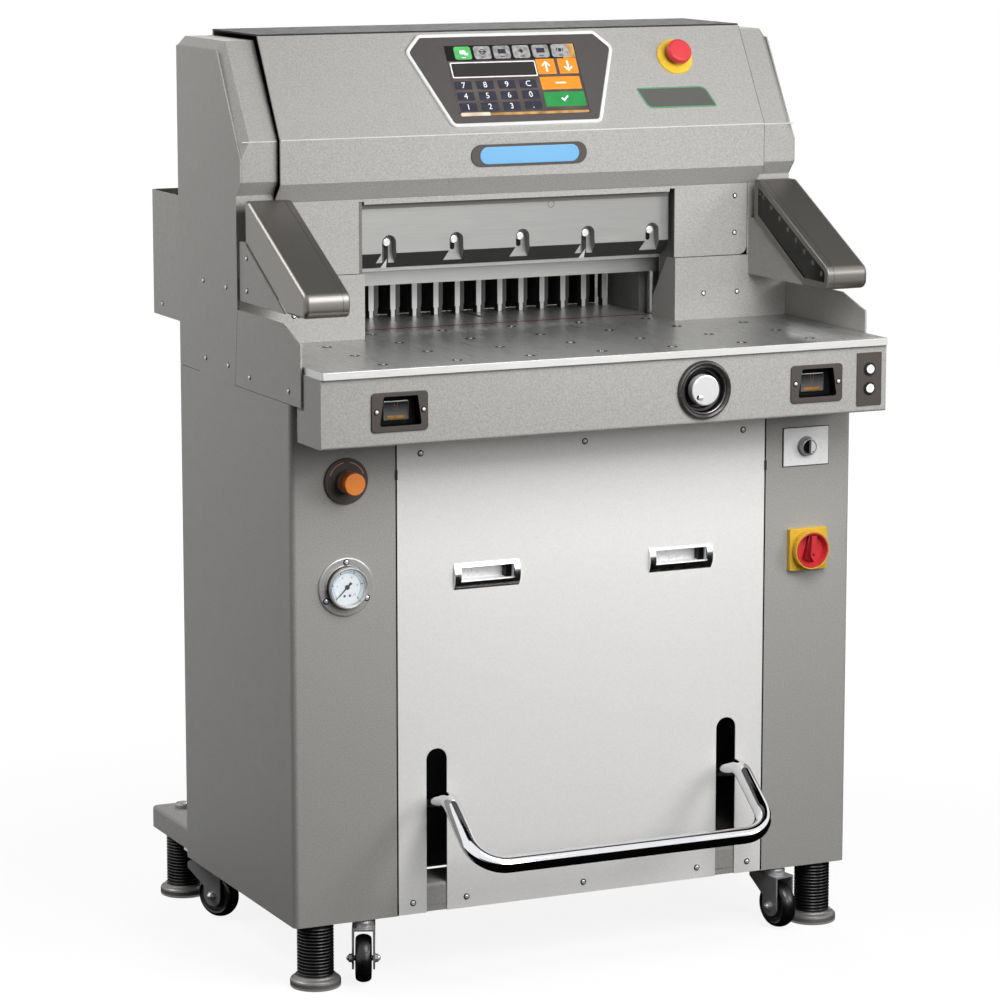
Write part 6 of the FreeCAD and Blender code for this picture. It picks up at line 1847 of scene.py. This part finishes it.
@dataclass
class Console:
    """Head with its sloping console, display, stop button and status lamp.

    Keys have X and a distance up the slope; arrows have X and the way that they point.
    """

    low: float = 27.5
    high: float = 147
    half: float = 109
    seam: float = 404.6
    slope_long: float = 173
    face_half: float = 37
    arrows: tuple[Point, ...] = ((53.5, 1), (90.5, -1))
    arrows_up: float = 108
    bar_key: Point = (71.5, 79.5)
    tick_key: Point = (72, 52)

    def build(self) -> None:
        """Dress the head and build what it carries."""
        dress(GREY_COAT, "console_housing", "head_end_covers")
        dress(BLACK_COAT, "top_cover")
        self.stop()
        self.seams()
        self.folds()
        self.bezel()
        self.display()
        self.lamp()
        self.notice()

    def stop(self) -> None:
        """Red mushroom of the stop button on its stem."""
        form = Form()
        place = on_slope(*STOP_AT)
        side = ((0, 13), (15, 13), (18.6, 13.6), (19.6, 14.8), (19.8, 16.6), (19.8, 20.4),
                (19.3, 22.6), (18, 24.2), (16.4, 24.8), (0, 24.8))
        form.lathe(place, side, RED_GLOSS, 96)
        cap = ((0, 24.4), (16.6, 24.4), (16.2, 25), (13.4, 25.3), (12.9, 25.1), (12.4, 25.4),
               (0, 25.6))
        form.lathe(place, cap, RED_TOP, 96)
        form.piece("stop_mushroom", "stop_button", ["stop_button"])
        dress(DARK_AND_SHADE_STEEL, "stop_stem")

    def seams(self) -> None:
        """Joints between the console and its end covers."""
        form = Form()
        half = self.slope_long / 2 - 1
        for sign in (-1, 1):
            for place, tall in (
                (on_slope(sign * self.seam, half), half),
                (spot(sign * self.seam, HEAD_FRONT, 1203), self.face_half),
            ):
                form.slab(place, rounded(0.5, tall, 0.2, 1), -0.6, 0.12, JOINT_AND_SHADOW_GREY)
        form.piece("head_joints", "machine")

    def folds(self) -> None:
        """Painted highlight along the bends of the console and its end covers."""
        form = Form()
        console = (0, 403.6, -185.8, 1241.1)
        covers = [(sign * 433.4, 27.6, -176.5, 1239.6) for sign in (-1, 1)]
        for middle, half, back, high in (console, *covers):
            rod = ((0, -half), (0.7, -half), (0.9, -half + 0.3), (0.9, half - 0.3), (0.7, half),
                   (0, half))
            # Thin rods in the lighter coat stand in for the light caught on each bend
            form.lathe(spot(middle, back, high, out=RIGHT), rod, FOLD_HIGHLIGHT, 24)
        form.piece("head_folds", "machine")

    def bezel(self) -> None:
        """White-rimmed six-sided bezel round the screen."""
        right = ((124.5, 10, 12), (175, 138.7, 14), (148, 167.5, 12))
        left = [(-across, up, radius) for across, up, radius in right]
        outer = softened([left[0], *right, left[2], left[1]], 8)
        window = [(-self.half, self.low), (self.half, self.low), (self.half, self.high),
                  (-self.half, self.high)]
        trim = ((0, -0.2), (0, 2.8), (0.5, 3.8), (1.4, 4.4), (4.6, 4.4), (5.6, 3.8), (6, 2.8),
                (6, -0.2))
        form = Form()
        form.moulding(on_slope(0, 0), outer, trim, WHITE_GLOSS)
        form.slab(on_slope(0, 0), inset(outer, 5.4), 0, 3, BEZEL_FACE, 0, [window])
        form.piece("console_bezel", "machine", ["screen_bezel"])

    def key(self, form: Form, at: Point, half: Point, kind: Key, words: str = "") -> None:
        """Add one key of the display.

        Args:
            form: The mesh that gets it.
            at: X of its middle, and how far that is up the slope.
            half: Half its width and half its height.
            kind: Its kind.
            words: The figure on it.
        """
        place = on_slope(*at, 2.5)
        corner = 4 if kind in (Key.SILVER, Key.LIME) else 1
        form.slab(place, rounded(*half, corner, 4), 0, 0.5, kind.value, 0.2)
        if words:
            form.lettering(moved(place, out=0.5), words, 13.4, KEY_WHITE)

    def display(self) -> None:
        """What the lit screen shows: icons, a field and a keypad."""
        dress(GLOSS_BLACK, "touch_screen")
        form = Form()
        wide, tall = self.half - 0.6, (self.high - self.low) / 2 - 0.6
        ground = on_slope(0, (self.low + self.high) / 2, 2)
        form.slab(ground, rounded(wide, tall, 1, 2), 0, 0.6, DISPLAY_GROUND)
        top = on_slope(0, self.high - 13.2, 2.2)
        form.slab(top, rounded(wide, 12.6, 1, 2), 0, 0.5, GLOSS_BLACK)
        sweep = [(86, 121.6), (107.6, 121.6), (107.6, 146), (74, 146), (93, 140)]
        form.slab(on_slope(0, 0, 2.4), sweep, 0, 0.4, SWEEP_GOLD)
        line = rounded(self.half - 1.4, 2.2, 1, 2)
        form.slab(on_slope(0, 30.4, 2.3), line, 0, 0.45, SWEEP_GOLD)
        form.slab(on_slope(-82, 30.9, 2.5), rounded(24, 2.9, 1, 2), 0, 0.4, SHINE_PALE)
        self.icons(form)
        entry = on_slope(-34.5, 105.5, 2.5)
        form.slab(entry, rounded(71, 13.2, 2), 0, 0.3, KEY_WHITE)
        form.slab(entry, rounded(69.2, 11.4, 1.4), 0, 0.45, DISPLAY_FIELD)
        self.keypad(form)
        form.piece("display", "machine")

    def keypad(self, form: Form) -> None:
        """Dark keys with figures, and orange and green ones with an arrow, a bar or a tick.

        Args:
            form: The mesh that gets them.
        """
        for row, words in enumerate(("789C", "4560", "123.")):
            for column, figure in enumerate(words):
                at = (-91.5 + column * 36, 79.5 - row * 18.4)
                self.key(form, at, (14.2, 7.2), Key.DARK, figure)
        for (across, _), half in zip(self.arrows, (15.5, 16)):
            self.key(form, (across, self.arrows_up), (half, 13), Key.ORANGE)
        self.key(form, self.bar_key, (33.5, 10.8), Key.ORANGE)
        self.key(form, self.tick_key, (34, 12.3), Key.GREEN)
        right = [(7.5, 1.5), (5.6, 0.2), (1.5, 5), (1.5, -9)]
        arrow = [(0, 9.5), *right, *((-x, y) for x, y in reversed(right))]
        for across, way in self.arrows:
            outline = [(x, way * y) for x, y in arrow]
            form.slab(on_slope(across, self.arrows_up, 3), outline, 0, 0.2, KEY_WHITE)
        form.slab(on_slope(*self.bar_key, 3), rounded(9, 1.3, 1.2, 3), 0, 0.2, KEY_WHITE)
        tick = [(-6.4, 0.8), (-4.4, 2.8), (-1.6, -0.2), (5, 6.2), (6.8, 4.2), (-1.6, -4.2)]
        form.slab(on_slope(*self.tick_key, 3), tick, 0, 0.2, KEY_WHITE)

    def icons(self, form: Form) -> None:
        """Row of rounded keys with plain glyphs along the top of the display.

        Args:
            form: The mesh that gets them.
        """
        glyphs: tuple[Profile, ...] = (
            rounded(5, 3.4, 1.6, 3), rounded(6.6, 0.9, 0.4, 2), rounded(6.6, 3.8, 0.8, 2),
            [(0, 5.6), (-6, 0), (0, -5.6), (6, 0)],
            rounded(7, 4, 0.6, 2), rounded(6.4, 3.2, 3, 4),
        )
        rings = {1: KEY_DARK, 3: KEY_SILVER, 5: KEY_SILVER}
        for number, glyph in enumerate(glyphs):
            across = -80 + number * 32.6
            kind, ink = (Key.SILVER, KEY_DARK) if number else (Key.LIME, KEY_WHITE)
            self.key(form, (across, 134.4), (14, 11), kind)
            place = on_slope(across, 135.6, 3)
            form.slab(place, glyph, 0, 0.15, ink)
            if number in rings:
                form.lathe(place, tube(3.2, 4.6, 0, 0.22), rings[number], 32)
            if kind is Key.LIME:
                form.slab(moved(place, 5.4, -3.2), rounded(3.2, 2, 0.8, 3), 0, 0.2, ink)
            form.slab(on_slope(across, 126.6, 3), rounded(3.4, 0.7, 0.3, 2), 0, 0.12, ink)

    def lamp(self) -> None:
        """Long status lamp with its blue lens."""
        form = Form()
        place = spot(0, HEAD_FRONT, 1207.8)
        form.slab(place, rounded(96.7, 16.75, 16.7, 12), 0, 2, PLATE_COAT, 0.5)
        form.slab(place, rounded(82.7, 13, 12.9, 12), 1.5, 3.5, LAMP_BLUE, 0.8)
        form.piece("lamp_lens", "machine", ["status_lamp"])

    def notice(self) -> None:
        """Bare notice plate with a green edge, low on the slope."""
        outer = softened(((-67, 18, 3), (-53, -18, 14), (67, -18, 3), (53, 18, 16)), 8)
        place = on_slope(264, 50)
        form = Form()
        form.slab(place, outer, 0, 0.5, NOTICE_EDGE)
        form.slab(place, inset(outer, 2.4), 0, 0.7, NOTICE, 0.1)
        form.piece("notice_plate", "machine")


@dataclass
class CurtainArms:
    """Light-curtain arms with their caps, windows and rows of receivers.

    Corners seen from the side are Y, Z and the corner's radius.
    """

    inner: float = 390.4
    outer: float = 460
    seam: float = 401
    outline: tuple[tuple[float, float, float], ...] = (
        (-180.5, 1154, 0), (-195.5, 1154, 9), (-416.5, 1038, 17), (-416.5, 1005, 13),
        (-340.5, 1005, 9), (-180.5, 1093, 0),
    )
    window: tuple[tuple[float, float, float], ...] = (
        (-193, 1145, 3), (-198.5, 1144, 3), (-409.5, 1033, 9), (-407.5, 1014, 4),
        (-342, 1015, 4), (-193, 1099, 3),
    )
    receivers: int = 8

    def build(self) -> None:
        """Make the arms and set the receivers behind their windows."""
        dress(GLOSS_BLACK, "curtain_windows")
        form = Form()
        places: Places = []
        for sign, out, inward in ((-1, LEFT, RIGHT), (1, RIGHT, LEFT)):
            outline, hole = (
                softened([(sign * back, high, radius) for back, high, radius in corners], steps)
                for corners, steps in ((self.outline, 7), (self.window, 5))
            )
            outside = spot(0, 0, 0, out=out)
            form.slab(outside, outline, self.seam + 0.5, self.outer, GUNMETAL, 7, rounds=5)
            form.slab(outside, inset(outline, 0.6), self.seam - 0.4, self.seam + 0.6, DARK_GAP)
            inside = spot(0, 0, 0, out=inward)
            mirrored, opening = (
                [(-x, y) for x, y in reversed(points)] for points in (outline, hole)
            )
            form.slab(inside, mirrored, -self.seam, -self.inner, GUNMETAL, 2.2, [opening], 3)
            for number in range(self.receivers):
                point = (sign * (self.inner + 0.2), -211.2 - 26.4 * number, 1129 - 14.3 * number)
                places.append((point, inward))
        form.piece("arm_shells", "machine", ["curtain_arms"])
        Scatter("curtain_receivers", LED_GREY, disc(4.2, 0, 0.25), places).build("black_plastic")


@dataclass
class Pedal:
    """Bent chrome tube of the foot pedal, with its bosses and pins.

    The line is Y and Z of the tube's corners, from the pivot to the front.
    """

    reach: float = 243.2
    radius: float = 13
    line: tuple[Point, ...] = ((-47.5, 190), (-413.5, 279.5), (-517.5, 202.5))
    bends: tuple[float, ...] = (34, 48, 48, 34)

    def build(self) -> None:
        """Sweep the tube and turn its ends."""
        left, right = (
            [Vector((PANEL_MIDDLE + sign * self.reach, *point)) for point in self.line]
            for sign in (-1, 1)
        )
        form = Form()
        form.sweep(bent([*left, *reversed(right)], self.bends, 14), self.radius, CHROME, 40)
        boss = ((0, -13), (15.4, -13), (16, -12.4), (16, 12.4), (15.4, 13), (0, 13))
        pin = ((0, 12), (8, 12), (8, 37.2), (7.2, 38), (0, 38))
        for end, out in ((left[0], LEFT), (right[0], RIGHT)):
            place = spot(*end, out=out)
            form.lathe(place, boss, SATIN_CHROME, 48)
            form.lathe(place, pin, GROUND_STEEL, 32)
        form.piece("pedal_tube", "foot_pedal", ["foot_pedal"])


# The studio


@dataclass
class Studio:
    """Pale floor, soft lamps, white surroundings and the camera, in metres.

    Places are in metres, and angles in degrees. The floor is darker beside the machine and
    fades to white between two distances.
    """

    floor_half: float = 45
    floor_near: float = 0.88
    fade: Point = (0.8, 3)
    ambient: float = 0.08
    lens: float = 139.33
    eye: tuple[float, float, float] = (-2.5044, -5.4831, 1.6914)
    tilt: float = 9.827
    turn: float = 24.875

    def build(self) -> None:
        """Set up all of it."""
        self.floor()
        self.flags()
        self.world()
        self.lamps()
        self.camera()
        bpy.context.scene.view_settings.view_transform = "Standard"

    def seen(self, tree: Tree) -> Socket:
        """Tell the rays that show the background from the others.

        Args:
            tree: The node tree that asks.

        Returns:
            A value that is 1 for them and 0 for the others.
        """
        path = add_node(tree, "ShaderNodeLightPath")
        shown = path.outputs["Is Camera Ray"]
        for name in ("Is Glossy Ray", "Is Transmission Ray"):
            inputs = {0: shown, 1: path.outputs[name]}
            larger = add_node(tree, "ShaderNodeMath", inputs, operation="MAXIMUM")
            shown = larger.outputs["Value"]
        return shown

    def floor(self) -> None:
        """Plain pale floor that keeps the machine's shadow."""
        inputs = {"Base Color": linear("#6E6E6E"), "Roughness": 0.9, "Specular IOR Level": 0}
        made = new_material("floor_paper", {**inputs, "Emission Color": (1, 1, 1, 1)})
        tree = made.node_tree
        where = add_node(tree, "ShaderNodeTexCoord").outputs["Object"]
        reach = add_node(tree, "ShaderNodeVectorMath", {0: where}, operation="LENGTH")
        near, far = self.fade
        limits = {"From Min": near, "From Max": far, "To Min": self.floor_near, "To Max": 1}
        away = add_node(
            tree, "ShaderNodeMapRange", {"Value": reach.outputs["Value"], **limits}
        )
        inputs = {0: self.seen(tree), 1: away.outputs["Result"]}
        bright = add_node(tree, "ShaderNodeMath", inputs, operation="MULTIPLY")
        attach(tree, tree.nodes[SHADER], {"Emission Strength": bright.outputs["Value"]})
        half = self.floor_half
        corners = [(-half, -half, 0), (half, -half, 0), (half, half, 0), (-half, half, 0)]
        self.sheet("floor", corners, made)

    def sheet(
        self, name: str, corners: Sequence[Sequence[float]], made: bpy.types.Material
    ) -> bpy.types.Object:
        """Add a flat sheet that isn't part of the machine.

        Args:
            name: Its name.
            corners: Its corners in metres.
            made: Its material.

        Returns:
            The object.
        """
        data = bpy.data.meshes.new(name)
        data.from_pydata(corners, [], [(0, 1, 2, 3)])
        data.materials.append(made)
        plane = bpy.data.objects.new(name, data)
        bpy.context.scene.collection.objects.link(plane)
        return plane

    def flags(self) -> None:
        """Black cards that only reflections see, for the dark bands in polished metal."""
        inputs = {"Base Color": (0.002, 0.002, 0.002, 1), "Roughness": 1}
        black = new_material("black_card", {**inputs, "Specular IOR Level": 0})
        cards = {
            "low": [(-2.6, -5, 0.004), (3.2, -5, 0.004), (3.2, 0.4, 0.004), (-2.6, 0.4, 0.004)],
            "far": [(-0.6, 6, 0), (9, 6, 0), (9, 6, 3), (-0.6, 6, 3)],
            "near": [(-7, -5.1, 0), (7, -5.1, 0), (7, -5.1, 1.1), (-7, -5.1, 1.1)],
            "side": [(3.3, -5.1, 0), (3.3, 3, 0), (3.3, 3, 1.1), (3.3, -5.1, 1.1)],
            "top": [(-1.4, -1, 4.2), (4.4, -1, 4.2), (4.4, 4.4, 4.2), (-1.4, 4.4, 4.2)],
        }
        for name, corners in cards.items():
            card = self.sheet("card_" + name, corners, black)
            card.visible_camera = False
            card.visible_diffuse = False
            card.visible_transmission = False
            card.visible_shadow = False

    def world(self) -> None:
        """White for what the camera and reflections see, soft grey light for the rest."""
        world = bpy.data.worlds.new("studio")
        bpy.context.scene.world = world
        world.use_nodes = True
        tree = world.node_tree
        tree.nodes.clear()
        soft, white = (
            add_node(tree, "ShaderNodeBackground", {"Color": (1, 1, 1, 1), "Strength": strength})
            for strength in (self.ambient, 1)
        )
        inputs = {0: self.seen(tree), 1: soft.outputs["Background"], 2: white.outputs["Background"]}
        both = add_node(tree, "ShaderNodeMixShader", inputs)
        add_node(tree, "ShaderNodeOutputWorld", {"Surface": both.outputs["Shader"]})

    def lamps(self) -> None:
        """Key lamp at the right front, a near one over the throat, fills and a weak lamp behind."""
        for name, place, aim, side, watts in (
            ("key", (2.6, -2.8, 1.9), (0, -0.2, 0.8), 1.2, 34),
            ("near", (0.15, -1.5, 1.8), (0, -0.2, 1), 0.9, 20),
            ("low", (0.6, -3.9, 1.6), (0, -0.3, 0.5), 1.4, 27),
            ("fill", (-2.3, 1, 2.9), (0, 0, 0.8), 1.4, 50),
            ("rear", (1.5, 3.2, 2.6), (0, 0, 0.8), 1.6, 40),
        ):
            data = bpy.data.lights.new(name, "AREA")
            data.shape = "SQUARE"
            data.size = side
            data.energy = watts
            made = bpy.data.objects.new(name, data)
            made.location = place
            aimed = Vector(aim) - Vector(place)
            made.rotation_euler = aimed.to_track_quat("-Z", "Y").to_euler()
            made.visible_camera = False
            bpy.context.scene.collection.objects.link(made)

    def camera(self) -> None:
        """The photograph's camera, solved from its vanishing points."""
        data = bpy.data.cameras.new("photo_camera")
        data.lens = self.lens
        data.sensor_width = 36
        data.clip_start, data.clip_end = 0.1, 200
        made = bpy.data.objects.new("photo_camera", data)
        made.location = self.eye
        made.rotation_euler = (math.radians(90 - self.tilt), 0, math.radians(-self.turn))
        bpy.context.scene.collection.objects.link(made)
        bpy.context.scene.camera = made


def main() -> None:
    """Build the studio and every part of the machine."""
    logging.basicConfig(level=logging.INFO, format="%(name)s %(message)s")
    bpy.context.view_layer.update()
    Studio().build()
    for part in (
        Cabinet(), Feet(), Casters(), Table(), Throat(), Beam(), Controls(), Console(),
        CurtainArms(), Pedal(),
    ):
        LOG.info("building %s", type(part).__name__)
        part.build()


if __name__ == "__main__":
    main()
